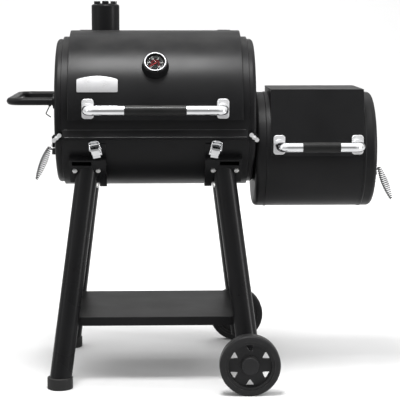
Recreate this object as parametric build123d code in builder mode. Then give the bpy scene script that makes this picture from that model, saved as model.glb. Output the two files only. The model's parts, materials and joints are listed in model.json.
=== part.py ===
from build123d import *
import math
import os

# Offset smoker: a horizontal cooking barrel with a lid and chimney, a lower firebox bolted to
# its right end, four splayed tube legs, a shelf, two wheels and a push handle at the left end.
# Millimetres. +Z up, -Y is the front, +X is the firebox side. The origin is on the ground,
# under the middle of the whole smoker.

os.makedirs("parts", exist_ok=True)

# ---- driving dimensions ---------------------------------------------------------------------
BARREL_X = -145.42         # middle of the barrel, from the middle of the whole smoker
BARREL_Z = 806.5           # barrel axis above the ground
BARREL_R = 226.5           # outside of the rolled shell
BARREL_END = 277.0         # shell ends, either side of the barrel's middle
CAP_FACE = 298.0           # flat faces of the dished end caps
SHEET = 2.0                # steel sheet of shells, caps and lids
GAP = 0.4                  # air between pieces that move past each other

OPENING_HALF = 247.0       # cooking opening, either side of the middle
OPENING_REAR = 76.0        # degrees from the rear horizontal, over the top
OPENING_FRONT = 181.0

LID_R = 245.5
LID_HALF = 257.0
LID_REAR = 71.0
LID_FRONT = 183.0
SKIRT_R = 228.0            # inner edge of the lid's end plates
LID_HINGE_Y = 92.0
LID_HINGE_RISE = 236.0     # above the barrel axis
LID_HINGE_X = 212.0

CHIMNEY_X = -157.0         # from the barrel's middle
CHIMNEY_Y = 150.0
CHIMNEY_R = 44.0
CHIMNEY_TOP = 1132.0
DAMPER_CAP_R = 36.0
DAMPER_CAP_H = 10.0

FIREBOX_Z = 686.5
FIREBOX_R = 176.0
FIREBOX_LEFT = 299.0       # left cap face, from the barrel's middle
FIREBOX_RIGHT = 665.0
FIREBOX_SEAM_L = 338.0     # where each cap meets the drum
FIREBOX_SEAM_R = 625.0
FIRE_LID_L = 345.0
FIRE_LID_R = 624.0
FIRE_LID_TOP = 191.5       # above the firebox axis
FIRE_LID_REAR = 98.0
FIRE_HINGE_Y = 106.0
FIRE_HINGE_RISE = 158.0
PORT_Z = 700.0             # opening between firebox and barrel
PORT_R = 70.0

LEG_R = 32.5
LEG_WALL = 2.0
LEG_FOOT_X = 288.0         # axis at the ground, from the barrel's middle
LEG_FOOT_Y = 272.0
LEG_LEAN_X = 0.131         # sideways travel for each unit of height
LEG_LEAN_Y = 0.168
BRACKET_R = 251.0          # curved face of the leg brackets
BRACKET_OUTER = 256.0
BRACKET_INNER = 147.0

WHEEL_R = 89.0
WHEEL_Y = 362.0
WHEEL_HALF_W = 21.0
WHEEL_X = 272.0            # axle, from the barrel's middle
AXLE_R = 8.0

SHELF_HALF_X = 246.0
SHELF_HALF_Y = 205.0
SHELF_Z = 199.5
SHELF_LIP = 26.5

LOOP_X = 431.0             # push handle's outer bar, left of the barrel's middle
LOOP_Y = 185.0
LOOP_Z = 845.0
LOOP_R = 11.0

TUBE_R = 14.0              # chrome tube of both lid handles
GRIP_R = 15.2
PLATE_W = 35.0
PLATE_H = 58.0

VENT_R = 40.0              # rotary air dampers
LEFT_VENT_Y = -100.0
LEFT_VENT_Z = 710.0
FIRE_VENT_Y = -50.0
FIRE_VENT_Z = 640.0

GAUGE_ANGLE = 35.2         # degrees above the horizontal, from the barrel axis
LATCH_X = 177.0
LATCH_ANGLE = 25.8         # degrees below the horizontal
LATCH_TILT = 11.0


# ---- helpers --------------------------------------------------------------------------------
def save(part, name):
    """Label a finished piece and write it to its own file."""
    part.label = name
    export_step(part, f"parts/{name}.step")


def across(x, z=BARREL_Z):
    """Plane square to the barrel: its x runs to the rear, its y up, its normal to +X."""
    return Plane(origin=(BARREL_X + x, 0, z), x_dir=(0, 1, 0), z_dir=(1, 0, 0))


def turned(radius, angle):
    """Point on a circle, angle in degrees from the rear horizontal over the top."""
    return (radius * math.cos(math.radians(angle)), radius * math.sin(math.radians(angle)))


def circle_y(radius, rise):
    """How far in front of the axis a circle lies at a given rise."""
    return -math.sqrt(radius**2 - rise**2)


def arc_band(inner, outer, start, end):
    """Flat ring sector between two radii."""
    with BuildSketch() as band:
        with BuildLine():
            outside = CenterArc((0, 0), outer, start, end - start)
            inside = CenterArc((0, 0), inner, start, end - start)
            Line(outside @ 0, inside @ 0)
            Line(outside @ 1, inside @ 1)
        make_face()
    return band.sketch


def leg_point(side, front, z):
    """Point on a leg's axis; side is -1 left or 1 right, front is -1 front or 1 rear."""
    x = LEG_FOOT_X - LEG_LEAN_X * z
    y = LEG_FOOT_Y - LEG_LEAN_Y * z
    return Vector(BARREL_X + side * x, front * y, z)


def leg_plane(side, front, z):
    """Plane square to a leg's axis."""
    direction = leg_point(side, front, z + 1) - leg_point(side, front, z)
    return Plane(origin=leg_point(side, front, z), z_dir=direction)


def hex_bolt(plane, across_flats=13.0, head=5.5, shank=8.0, depth=6.0):
    """Hexagon bolt with its head on the plane and a short shank behind it."""
    with BuildPart() as bolt:
        with BuildSketch(plane):
            RegularPolygon(radius=across_flats / math.sqrt(3), side_count=6)
        extrude(amount=head)
        chamfer(bolt.faces().sort_by(Axis(plane.origin, plane.z_dir))[-1].edges(), length=0.8)
        with BuildSketch(plane):
            Circle(shank / 2)
        extrude(amount=-depth)
    return bolt.part


# ---- barrel ---------------------------------------------------------------------------------
with BuildPart() as barrel_shell:
    with BuildSketch(across(-BARREL_END)):
        Circle(BARREL_R)
        Circle(BARREL_R - SHEET, mode=Mode.SUBTRACT)
    extrude(amount=2 * BARREL_END)
    with BuildSketch(across(-OPENING_HALF)):
        add(arc_band(BARREL_R - 20, BARREL_R + 20, OPENING_REAR, OPENING_FRONT))
    extrude(amount=2 * OPENING_HALF, mode=Mode.SUBTRACT)
    with BuildSketch(Plane.XY.offset(BARREL_Z)):
        with Locations((BARREL_X + CHIMNEY_X, CHIMNEY_Y)):
            Circle(CHIMNEY_R - SHEET)
    extrude(amount=BARREL_R + 20, mode=Mode.SUBTRACT)
save(barrel_shell.part, "barrel_shell")

CAP_STEP_R = 219.0          # the dish stands a little inside the shell
CAP_PLUG = 15.0             # how far the cap's skirt reaches into the shell
CAP_CORNER = 10.0
CAP_BEAD_R = 150.0
CAP_BEAD = 6.0
CAP_DISH = 3.0
PORT_BOLT_R = PORT_R + 18


def end_cap(plug_r, step_r, seam, face, corner, bead_r, dish):
    """Dished cap turned about the drum axis: x is the axial distance, y the radius."""
    with BuildSketch() as section:
        with BuildLine():
            Polyline((seam - CAP_PLUG, plug_r), (seam, plug_r), (seam + SHEET, step_r),
                     (face - corner, step_r))
            RadiusArc((face - corner, step_r), (face, step_r - corner), corner)
            Polyline((face, step_r - corner), (face, bead_r + CAP_BEAD),
                     (face - dish, bead_r), (face - dish, 0), (face - dish - SHEET, 0),
                     (face - dish - SHEET, bead_r - 1), (face - SHEET, bead_r + CAP_BEAD - 1),
                     (face - SHEET, step_r - corner))
            RadiusArc((face - SHEET, step_r - corner), (face - corner, step_r - SHEET),
                      -(corner - SHEET))
            Polyline((face - corner, step_r - SHEET), (seam + 1, step_r - SHEET),
                     (seam - 1, plug_r - SHEET), (seam - CAP_PLUG, plug_r - SHEET),
                     (seam - CAP_PLUG, plug_r))
        make_face()
    return section.sketch


def axial_plane(z, mirrored=False):
    """Plane through a drum axis: x runs outwards along the axis, y up."""
    direction = (-1, 0, 0) if mirrored else (1, 0, 0)
    return Plane(origin=(BARREL_X, 0, z), x_dir=direction, z_dir=(0, 1 if mirrored else -1, 0))


def vent_slots(plane, radius=24.0, hole=10.5):
    """Four round air holes about a damper's pivot."""
    with BuildSketch(plane) as holes:
        with PolarLocations(radius, 4):
            Circle(hole)
        Circle(4.2)
    return holes.sketch


left_vent_plane = Plane(origin=(BARREL_X - CAP_FACE, LEFT_VENT_Y, LEFT_VENT_Z),
                        x_dir=(0, -1, 0), z_dir=(-1, 0, 0))
fire_vent_plane = Plane(origin=(BARREL_X + FIREBOX_RIGHT, FIRE_VENT_Y, FIRE_VENT_Z),
                        x_dir=(0, 1, 0), z_dir=(1, 0, 0))
barrel_axis = Axis((BARREL_X, 0, BARREL_Z), (1, 0, 0))
firebox_axis = Axis((BARREL_X, 0, FIREBOX_Z), (1, 0, 0))
CAP_PLUG_R = BARREL_R - SHEET - 0.1
VENT_PAD_R = 46.0

with BuildPart() as barrel_cap_left:
    with BuildSketch(axial_plane(BARREL_Z, mirrored=True)):
        add(end_cap(CAP_PLUG_R, CAP_STEP_R, BARREL_END, CAP_FACE, CAP_CORNER, CAP_BEAD_R, CAP_DISH))
    revolve(axis=barrel_axis)
    with BuildSketch(left_vent_plane.offset(-5)):
        Circle(VENT_PAD_R)
    extrude(amount=5)
    add(extrude(vent_slots(left_vent_plane.offset(-20)), amount=40, mode=Mode.PRIVATE),
        mode=Mode.SUBTRACT)
save(barrel_cap_left.part, "barrel_cap_left")

with BuildPart() as barrel_cap_right:
    with BuildSketch(axial_plane(BARREL_Z)):
        add(end_cap(CAP_PLUG_R, CAP_STEP_R, BARREL_END, CAP_FACE, CAP_CORNER, CAP_BEAD_R, 0.5))
    revolve(axis=barrel_axis)
    with BuildSketch(across(CAP_FACE - 20, PORT_Z)):
        Circle(PORT_R)
        with PolarLocations(PORT_BOLT_R, 6, start_angle=30):
            Circle(4.1)
    extrude(amount=40, mode=Mode.SUBTRACT)
save(barrel_cap_right.part, "barrel_cap_right")

# Front rail: a folded ledge below the lid that stiffens the front of the shell.
RAIL_HALF = 273.0
RAIL_TOP = -43.0            # below the barrel axis
RAIL_NOSE = (-231.0, -64.5)
RAIL_CHIN = (-229.5, -70.0)
RAIL_FOOT = -73.0
EAR_REACH = 299.0

with BuildPart() as front_rail:
    with BuildSketch(across(-RAIL_HALF)):
        with BuildLine():
            rail_start = (circle_y(BARREL_R, RAIL_TOP), RAIL_TOP)
            rail_end = (circle_y(BARREL_R, RAIL_FOOT), RAIL_FOOT)
            Polyline(rail_start, RAIL_NOSE, RAIL_CHIN, rail_end)
            RadiusArc(rail_end, rail_start, BARREL_R)
        make_face()
        offset(amount=-SHEET, mode=Mode.SUBTRACT)
    extrude(amount=2 * RAIL_HALF)
    for side in (-1, 1):
        ear_start = side * RAIL_HALF if side > 0 else -EAR_REACH
        with BuildSketch(across(ear_start)):
            with Locations((RAIL_CHIN[0] + 4, RAIL_NOSE[1] - 2)):
                Rectangle(3, 20)
        extrude(amount=EAR_REACH - RAIL_HALF)
save(front_rail.part, "front_rail")


WING_REACH = 10.5
WING_R = 6.5
WING_WAIST = 7.0


def wing_screw(side):
    """Thumb screw with two slanted wings, pointing to the front."""
    face = Plane(origin=(BARREL_X + side * 290, RAIL_CHIN[0] + 2.5, BARREL_Z + RAIL_NOSE[1] - 1),
                 x_dir=(1, 0, 0), z_dir=(0, -1, 0))
    with BuildPart() as screw:
        with BuildSketch(face):
            Circle(6.5)
        extrude(amount=9)
        with BuildSketch(face.offset(9)):
            Circle(3)
        extrude(amount=5)
        with BuildSketch(face.offset(3)):
            with Locations(Location((0, 0, 0), (0, 0, side * -42))):
                Rectangle(2 * WING_REACH, WING_WAIST)
                with Locations((-WING_REACH, 0), (WING_REACH, 0)):
                    Circle(WING_R)
        extrude(amount=5)
        fillet(screw.edges().filter_by(GeomType.CIRCLE).group_by(Axis.Y)[0], radius=0.8)
    return screw.part


save(Compound(children=[wing_screw(-1), wing_screw(1)]), "rail_thumb_screws")

# ---- cooking chamber contents ---------------------------------------------------------------
GRATE_Z = -30.0
GRATE_HALF_Y = 205.0
GRATE_W = 236.0
GRATE_T = 10.0
BAR_W = 6.0
RAIL_INNER = 188.0

grate_rails = []
for side in (-1, 1):
    with BuildPart() as grate_rail:
        with BuildSketch(across(-BARREL_END + 25)):
            wall_y = -circle_y(BARREL_R - SHEET - 0.2, GRATE_Z - SHEET - 0.5)
            with BuildLine():
                Polyline((side * RAIL_INNER, GRATE_Z - 0.5), (side * wall_y, GRATE_Z - 0.5),
                         (side * wall_y, GRATE_Z - 0.5 - SHEET),
                         (side * (RAIL_INNER + SHEET), GRATE_Z - 0.5 - SHEET),
                         (side * (RAIL_INNER + SHEET), GRATE_Z - 16),
                         (side * RAIL_INNER, GRATE_Z - 16), close=True)
            make_face()
        extrude(amount=2 * (BARREL_END - 25))
    grate_rails.append(grate_rail.part)
save(Compound(children=grate_rails), "grate_rails")


def bar_grate(centre_x, z, width, half_y, bars, thick, bar):
    """Cast grid: an outer frame, parallel bars from front to rear and one cross rib."""
    base = Plane(origin=(BARREL_X + centre_x, 0, z), x_dir=(1, 0, 0), z_dir=(0, 0, 1))
    pitch = (width - 2 * bar) / (bars + 1)
    with BuildPart() as grate:
        with BuildSketch(base):
            RectangleRounded(width, 2 * half_y, 12)
            RectangleRounded(width - 2 * bar - 2, 2 * (half_y - bar - 1), 8, mode=Mode.SUBTRACT)
            with GridLocations(pitch, 0, bars, 1):
                Rectangle(bar, 2 * (half_y - bar / 2))
        extrude(amount=thick)
        with BuildSketch(base):
            with GridLocations(0, half_y, 1, 2):
                Rectangle(width - bar, bar)
        extrude(amount=thick * 0.6)
    return grate.part


for name, centre in (("cooking_grate_left", -120.0), ("cooking_grate_right", 120.0)):
    save(bar_grate(centre, BARREL_Z + GRATE_Z, GRATE_W, GRATE_HALF_Y, 11, GRATE_T, BAR_W), name)

# Charcoal pan, resting on the curve of the shell.
PAN_HALF_X = 225.0
PAN_HALF_Y = 135.0
PAN_H = 42.0
pan_bottom = -math.sqrt((BARREL_R - SHEET - GAP) ** 2 - PAN_HALF_Y**2)
with BuildPart() as charcoal_pan:
    with BuildSketch(Plane(origin=(BARREL_X, 0, BARREL_Z + pan_bottom))):
        Rectangle(2 * PAN_HALF_X, 2 * PAN_HALF_Y)
    extrude(amount=PAN_H)
    offset(amount=-SHEET, openings=charcoal_pan.faces().sort_by(Axis.Z)[-1])
    with BuildSketch(Plane(origin=(BARREL_X, 0, BARREL_Z + pan_bottom))):
        with GridLocations(48, 60, 9, 4):
            Circle(6)
    extrude(amount=SHEET * 2, mode=Mode.SUBTRACT)
save(charcoal_pan.part, "charcoal_pan")

# ---- main lid -------------------------------------------------------------------------------
with BuildPart() as lid_shell:
    with BuildSketch(across(-LID_HALF)):
        add(arc_band(LID_R - SHEET, LID_R, LID_REAR, LID_FRONT))
    extrude(amount=2 * LID_HALF)
    for start in (-LID_HALF, LID_HALF - SHEET):
        with BuildSketch(across(start)):
            add(arc_band(SKIRT_R, LID_R - 1, LID_REAR, LID_FRONT))
        extrude(amount=SHEET)
    rear_skirt = SHEET / LID_R * 180 / math.pi
    with BuildSketch(across(-LID_HALF)):
        add(arc_band(SKIRT_R, LID_R - 1, LID_REAR, LID_REAR + rear_skirt))
    extrude(amount=2 * LID_HALF)
    rim = lid_shell.edges().filter_by(GeomType.CIRCLE).filter_by(
        lambda edge: abs(edge.radius - LID_R) < 0.1)
    fillet(rim, radius=4.0 * SHEET / 4.5)
save(lid_shell.part, "lid_shell")

KNUCKLE_R = 5.0
PIN_R = 2.5
KNUCKLE = 13.0
LEAF_T = 2.5


def knuckle_sketch(hinge):
    """Ring round a hinge pin, in the plane across the barrel."""
    with BuildSketch() as ring:
        with Locations(hinge):
            Circle(KNUCKLE_R)
            Circle(PIN_R + 0.05, mode=Mode.SUBTRACT)
    return ring.sketch


def hinge_fixed(x, hinge, axis_z, foot_r):
    """Outer knuckles with a leg down to the drum."""
    foot_y = hinge[0] + 4
    foot_z = math.sqrt(foot_r**2 - (foot_y + 8) ** 2)
    with BuildPart() as leaf:
        for start in (x - 1.5 * KNUCKLE, x + 0.5 * KNUCKLE):
            with BuildSketch(across(start, axis_z)):
                add(knuckle_sketch(hinge))
                with BuildLine():
                    Polyline((hinge[0] + PIN_R + 0.4, hinge[1] + 2), (foot_y + 8, hinge[1] - 2),
                             (foot_y + 8, foot_z), (foot_y - 2, foot_z),
                             (hinge[0] + PIN_R + 0.4, hinge[1] - 3), close=True)
                make_face()
                with Locations(hinge):
                    Circle(PIN_R + 0.05, mode=Mode.SUBTRACT)
            extrude(amount=KNUCKLE)
        with BuildSketch(across(x - 1.5 * KNUCKLE, axis_z)):
            with BuildLine():
                Polyline((foot_y + 3, hinge[1] - KNUCKLE_R - 2), (foot_y + 8, hinge[1] - KNUCKLE_R - 2),
                         (foot_y + 8, foot_z), (foot_y + 3, foot_z), close=True)
            make_face()
        extrude(amount=3 * KNUCKLE)
        with BuildSketch(across(x - 2 * KNUCKLE, axis_z)):
            Circle(foot_r + 0.05)
        extrude(amount=4 * KNUCKLE, mode=Mode.SUBTRACT)
    return leaf.part


def hinge_pin(x, hinge, axis_z):
    """Headed pin through one hinge."""
    with BuildPart() as pin:
        with BuildSketch(across(x - 1.5 * KNUCKLE - 1, axis_z)):
            with Locations(hinge):
                Circle(PIN_R)
        extrude(amount=3 * KNUCKLE + 2)
        with BuildSketch(across(x - 1.5 * KNUCKLE - 3, axis_z)):
            with Locations(hinge):
                Circle(PIN_R + 1.5)
        extrude(amount=2.5)
    return pin.part


lid_hinge = (LID_HINGE_Y, LID_HINGE_RISE)
fire_hinge = (FIRE_HINGE_Y, FIRE_HINGE_RISE)
fire_mid = (FIRE_LID_L + FIRE_LID_R) / 2
FIRE_HINGE_X = 95.0
hinge_places = [(-LID_HINGE_X, lid_hinge, BARREL_Z, BARREL_R),
                (LID_HINGE_X, lid_hinge, BARREL_Z, BARREL_R),
                (fire_mid - FIRE_HINGE_X, fire_hinge, FIREBOX_Z, FIREBOX_R),
                (fire_mid + FIRE_HINGE_X, fire_hinge, FIREBOX_Z, FIREBOX_R)]
save(Compound(children=[hinge_fixed(*place) for place in hinge_places]), "hinge_brackets")
save(Compound(children=[hinge_pin(x, hinge, z) for x, hinge, z, _ in hinge_places]), "hinge_pins")

# Moving leaves of the main lid lie on its curve just in front of the pins.
LEAF_END = 84.0
lid_leaves = []
for x in (-LID_HINGE_X, LID_HINGE_X):
    with BuildPart() as lid_leaf:
        with BuildSketch(across(x - 0.5 * KNUCKLE + GAP)):
            add(knuckle_sketch(lid_hinge))
            with BuildLine():
                leaf_heel = turned(LID_R + 0.1, LID_REAR)
                leaf_top = turned(LID_R + LEAF_T + 0.1, LID_REAR)
                Polyline(leaf_heel, leaf_top, (LID_HINGE_Y - 1.5, LID_HINGE_RISE + KNUCKLE_R - 0.4),
                         (LID_HINGE_Y - PIN_R - 0.5, LID_HINGE_RISE - 1), close=True)
            make_face()
        extrude(amount=KNUCKLE - 2 * GAP)
        with BuildSketch(across(x - 1.5 * KNUCKLE)):
            add(arc_band(LID_R + 0.1, LID_R + LEAF_T + 0.1, LID_REAR, LEAF_END))
        extrude(amount=3 * KNUCKLE)
    lid_leaves.append(lid_leaf.part)
save(Compound(children=lid_leaves), "lid_hinge_leaves")

# Handles: chrome plates with a collar, a tube bent back at both ends and a black grip.
LID_HANDLE_X = 197.5
LID_HANDLE_Z = 827.0
LID_HANDLE_REACH = 80.0
FIRE_HANDLE_X = 117.0
FIRE_HANDLE_Z = 714.5
FIRE_HANDLE_REACH = 85.0
FIRE_HANDLE_MID = 485.3
COLLAR_R = 17.0
COLLAR_H = 5.0
ELBOW_R = 22.0


def handle_plate(x, face_y, z, height):
    """Rounded plate with a raised collar, standing on a face that looks to the front."""
    face = Plane(origin=(BARREL_X + x, face_y, z), x_dir=(1, 0, 0), z_dir=(0, -1, 0))
    with BuildPart() as plate:
        with BuildSketch(face):
            RectangleRounded(PLATE_W, height, 9)
        extrude(amount=3)
        fillet(plate.edges().filter_by(lambda edge: abs(edge.center().Y - face_y + 3) < 0.01),
               radius=1.2)
        with BuildSketch(face.offset(3)):
            Circle(COLLAR_R)
        extrude(amount=COLLAR_H - 3, taper=20)
    return plate.part


def handle_tube(mid_x, half, face_y, z, reach):
    """Tube from one collar out, across and back to the other collar."""
    out_y = face_y - reach
    left, right = BARREL_X + mid_x - half, BARREL_X + mid_x + half
    with BuildPart() as tube:
        with BuildLine() as path:
            FilletPolyline((left, face_y - COLLAR_H, z), (left, out_y, z), (right, out_y, z),
                           (right, face_y - COLLAR_H, z), radius=ELBOW_R)
        with BuildSketch(Plane(origin=path.line @ 0, z_dir=path.line % 0)):
            Circle(TUBE_R)
            Circle(TUBE_R - 1.5, mode=Mode.SUBTRACT)
        sweep()
    return tube.part


def handle_grip(mid_x, half, out_y, z):
    """Sleeve on the tube with softened ends."""
    with BuildPart() as grip:
        with BuildSketch(Plane(origin=(BARREL_X + mid_x - half, out_y, z), x_dir=(0, 1, 0),
                               z_dir=(1, 0, 0))):
            Circle(GRIP_R)
            Circle(TUBE_R + 0.05, mode=Mode.SUBTRACT)
        extrude(amount=2 * half)
        chamfer(grip.edges().filter_by(lambda edge: edge.geom_type == GeomType.CIRCLE
                                       and edge.radius > TUBE_R + 0.5), length=0.6)
    return grip.part


# The lid curves away behind a flat plate, so each plate ends in a pad cut to the curve.
lid_plates = []
for side in (-1, 1):
    with BuildPart() as lid_plate:
        add(handle_plate(side * LID_HANDLE_X, -LID_R - 1, LID_HANDLE_Z, PLATE_H))
        with BuildSketch(Plane(origin=(BARREL_X + side * LID_HANDLE_X, -LID_R - 1, LID_HANDLE_Z),
                               x_dir=(1, 0, 0), z_dir=(0, 1, 0))):
            RectangleRounded(PLATE_W - 3, PLATE_H - 3, 7.5)
        extrude(amount=12)
        with BuildSketch(across(-LID_HALF)):
            Circle(LID_R + 0.1)
        extrude(amount=2 * LID_HALF, mode=Mode.SUBTRACT)
    lid_plates.append(lid_plate.part)
save(Compound(children=lid_plates), "lid_handle_plates")
save(handle_tube(0, LID_HANDLE_X, -LID_R - 1, LID_HANDLE_Z, LID_HANDLE_REACH), "lid_handle_tube")
save(handle_grip(0, 89.5, -LID_R - 1 - LID_HANDLE_REACH, LID_HANDLE_Z), "lid_handle_grip")

# Blank badge: a thin plate with an arched top, rolled to the lid's curve.
BADGE_L, BADGE_R = -230.0, -110.0
BADGE_LOW, BADGE_SIDE, BADGE_TOP = 875.0, 912.0, 921.5
with BuildPart() as badge_plate:
    with BuildSketch(Plane.XZ):
        with BuildLine():
            Polyline((BARREL_X + BADGE_L, BADGE_SIDE), (BARREL_X + BADGE_L, BADGE_LOW),
                     (BARREL_X + BADGE_R, BADGE_LOW), (BARREL_X + BADGE_R, BADGE_SIDE))
            ThreePointArc((BARREL_X + BADGE_R, BADGE_SIDE),
                          (BARREL_X + (BADGE_L + BADGE_R) / 2, BADGE_TOP),
                          (BARREL_X + BADGE_L, BADGE_SIDE))
        badge_outline = make_face()
        fillet(badge_outline.vertices(), radius=4)
    extrude(amount=LID_R + 20)
    with BuildSketch(across(-LID_HALF)):
        add(arc_band(LID_R + 0.1, LID_R + 2.1, 150, 170))
    extrude(amount=2 * LID_HALF, mode=Mode.INTERSECT)
save(badge_plate.part, "badge_plate")

# Gauge, standing square to the lid.
gauge_out = Vector(0, -math.cos(math.radians(GAUGE_ANGLE)), math.sin(math.radians(GAUGE_ANGLE)))
gauge_plane = Plane(origin=Vector(BARREL_X, 0, BARREL_Z) + gauge_out * LID_R, x_dir=(1, 0, 0),
                    z_dir=gauge_out)
HOUSING_H = 24.0
HOUSING_BASE_R = 41.0
HOUSING_FACE_R = 36.0
DIAL_H = 17.0
DIAL_R = 30.0
BEZEL_R = 32.5
BEZEL_OPENING_R = 28.0
with BuildPart() as gauge_housing:
    with BuildSketch(gauge_plane.offset(-6)):
        Circle(HOUSING_BASE_R)
    with BuildSketch(gauge_plane.offset(HOUSING_H)):
        Circle(HOUSING_FACE_R)
    loft()
    fillet(gauge_housing.faces().sort_by(Axis(gauge_plane.origin, gauge_out))[-1].edges(),
           radius=2.5)
    with BuildSketch(gauge_plane.offset(HOUSING_H)):
        Circle(DIAL_R + 0.3)
    extrude(amount=-(HOUSING_H - DIAL_H + 1.2), mode=Mode.SUBTRACT)
    with BuildSketch(across(-60)):
        Circle(LID_R + 0.1)
    extrude(amount=120, mode=Mode.SUBTRACT)
save(gauge_housing.part, "gauge_housing")

with BuildPart() as gauge_dial:
    with BuildSketch(gauge_plane.offset(DIAL_H - 1)):
        Circle(DIAL_R)
    extrude(amount=1)
save(gauge_dial.part, "gauge_dial")

with BuildPart() as gauge_glass:
    with BuildSketch(gauge_plane.offset(DIAL_H + 4.5)):
        Circle(DIAL_R)
    extrude(amount=1.5)
save(gauge_glass.part, "gauge_glass")

with BuildPart() as gauge_bezel:
    with BuildSketch(gauge_plane.offset(HOUSING_H + 0.1)):
        Circle(BEZEL_R)
        Circle(BEZEL_OPENING_R, mode=Mode.SUBTRACT)
    extrude(amount=3.5)
    fillet(gauge_bezel.faces().sort_by(Axis(gauge_plane.origin, gauge_out))[-1].edges(), radius=1.2)
save(gauge_bezel.part, "gauge_bezel")

NEEDLE_TURN = 215.0
with BuildPart() as gauge_needle:
    with BuildSketch(gauge_plane.offset(DIAL_H + 1.2)):
        Circle(2.6)
        with Locations(Location((0, 0, 0), (0, 0, NEEDLE_TURN))):
            with Locations((8, 0)):
                Trapezoid(26, 2.4, 87.5, rotation=0)
    extrude(amount=0.9)
save(gauge_needle.part, "gauge_needle")

# ---- chimney --------------------------------------------------------------------------------
chimney_foot = BARREL_Z + math.sqrt(BARREL_R**2 - (CHIMNEY_Y + CHIMNEY_R + 14) ** 2) - 12
with BuildPart() as chimney_pipe:
    with BuildSketch(Plane.XY.offset(chimney_foot)):
        with Locations((BARREL_X + CHIMNEY_X, CHIMNEY_Y)):
            Circle(CHIMNEY_R)
    extrude(amount=CHIMNEY_TOP - chimney_foot)
    fillet(chimney_pipe.faces().sort_by(Axis.Z)[-1].edges(), radius=7)
    with BuildSketch(Plane.XY.offset(chimney_foot)):
        with Locations((BARREL_X + CHIMNEY_X, CHIMNEY_Y)):
            Circle(CHIMNEY_R - SHEET)
    extrude(amount=CHIMNEY_TOP - chimney_foot - 8, mode=Mode.SUBTRACT)
    with BuildSketch(Plane.XY.offset(CHIMNEY_TOP - 20)):
        with Locations((BARREL_X + CHIMNEY_X, CHIMNEY_Y)):
            with PolarLocations(20, 4, start_angle=45):
                Circle(8.5)
            Circle(4.05)
    extrude(amount=40, mode=Mode.SUBTRACT)
    with BuildSketch(Plane.XY.offset(BARREL_Z + 100)):
        with Locations((BARREL_X + CHIMNEY_X, CHIMNEY_Y)):
            Circle(CHIMNEY_R + 13)
            Circle(CHIMNEY_R - 1, mode=Mode.SUBTRACT)
    collar_blank = extrude(amount=140, mode=Mode.PRIVATE)
    with BuildSketch(across(-BARREL_END)):
        Circle(BARREL_R + 4)
    collar_skin = extrude(amount=2 * BARREL_END, mode=Mode.PRIVATE)
    add(collar_blank & collar_skin)
    with BuildSketch(across(-BARREL_END)):
        Circle(BARREL_R + 0.1)
    extrude(amount=2 * BARREL_END, mode=Mode.SUBTRACT)
save(chimney_pipe.part, "chimney_pipe")

with BuildPart() as chimney_damper:
    with BuildSketch(Plane.XY.offset(CHIMNEY_TOP + GAP)):
        with Locations((BARREL_X + CHIMNEY_X, CHIMNEY_Y)):
            Circle(DAMPER_CAP_R)
            with PolarLocations(20, 4, start_angle=45):
                Circle(8.5, mode=Mode.SUBTRACT)
    extrude(amount=2)
    with BuildSketch(Plane.XY.offset(CHIMNEY_TOP + GAP + 2)):
        with Locations((BARREL_X + CHIMNEY_X, CHIMNEY_Y)):
            Circle(DAMPER_CAP_R)
            Circle(DAMPER_CAP_R - 2.5, mode=Mode.SUBTRACT)
            with PolarLocations(DAMPER_CAP_R, 8, start_angle=22.5):
                Rectangle(10, 9, mode=Mode.SUBTRACT)
    extrude(amount=DAMPER_CAP_H - 3)
    with BuildSketch(Plane.XY.offset(CHIMNEY_TOP + GAP + 2)):
        with Locations((BARREL_X + CHIMNEY_X, CHIMNEY_Y)):
            Circle(9)
    extrude(amount=DAMPER_CAP_H - 2)
    with BuildSketch(Plane.XY.offset(CHIMNEY_TOP + GAP)):
        with Locations((BARREL_X + CHIMNEY_X, CHIMNEY_Y)):
            Circle(4)
    extrude(amount=-8)
save(chimney_damper.part, "chimney_damper")


# ---- rotary air dampers ---------------------------------------------------------------------
VANE_H = 13.0
COIL_LEAN = 22.0            # degrees outwards from hanging straight down
COIL_LEN = 110.0
COIL_MAX_R = 12.5
COIL_TOP_R = 4.5
COIL_TIP_R = 5.0
COIL_WIRE = 1.6
LUG_H = 18.3


def damper_disc(plane):
    """Disc with four air holes, four raised vanes between them and a hub."""
    with BuildPart() as disc:
        with BuildSketch(plane.offset(GAP)):
            Circle(VENT_R)
            with PolarLocations(24, 4):
                Circle(10.5, mode=Mode.SUBTRACT)
            Circle(4.2, mode=Mode.SUBTRACT)
        extrude(amount=2)
        with BuildSketch(plane.offset(GAP + 2)):
            with PolarLocations(28, 4, start_angle=45):
                SlotOverall(20, 7)
            Circle(9)
            Circle(4.2, mode=Mode.SUBTRACT)
        extrude(amount=VANE_H - 2)
        top = disc.faces().sort_by(Axis(plane.origin, plane.z_dir))[-4:]
        fillet([edge for face in top for edge in face.edges() if edge.length > 8.0], radius=1.2)
        lug = Plane(origin=plane.origin + Vector(0, 0, -14), x_dir=plane.x_dir, z_dir=plane.z_dir)
        with BuildSketch(lug.offset(GAP + 1)):
            Rectangle(5, 4)
        extrude(amount=LUG_H - GAP - 1)
    return disc.part


def damper_pivot(plane):
    """Round-headed pivot screw with its nut behind the cap."""
    with BuildPart() as pivot:
        with BuildSketch(plane.offset(-9)):
            Circle(4)
        extrude(amount=9 + GAP + VANE_H + 0.4)
        with BuildSketch(plane.offset(GAP + VANE_H + 0.4)):
            Circle(6.5)
        extrude(amount=3.5, taper=25)
        with BuildSketch(plane.offset(-9)):
            RegularPolygon(radius=7.5, side_count=6)
        extrude(amount=3.5)
    return pivot.part


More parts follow.
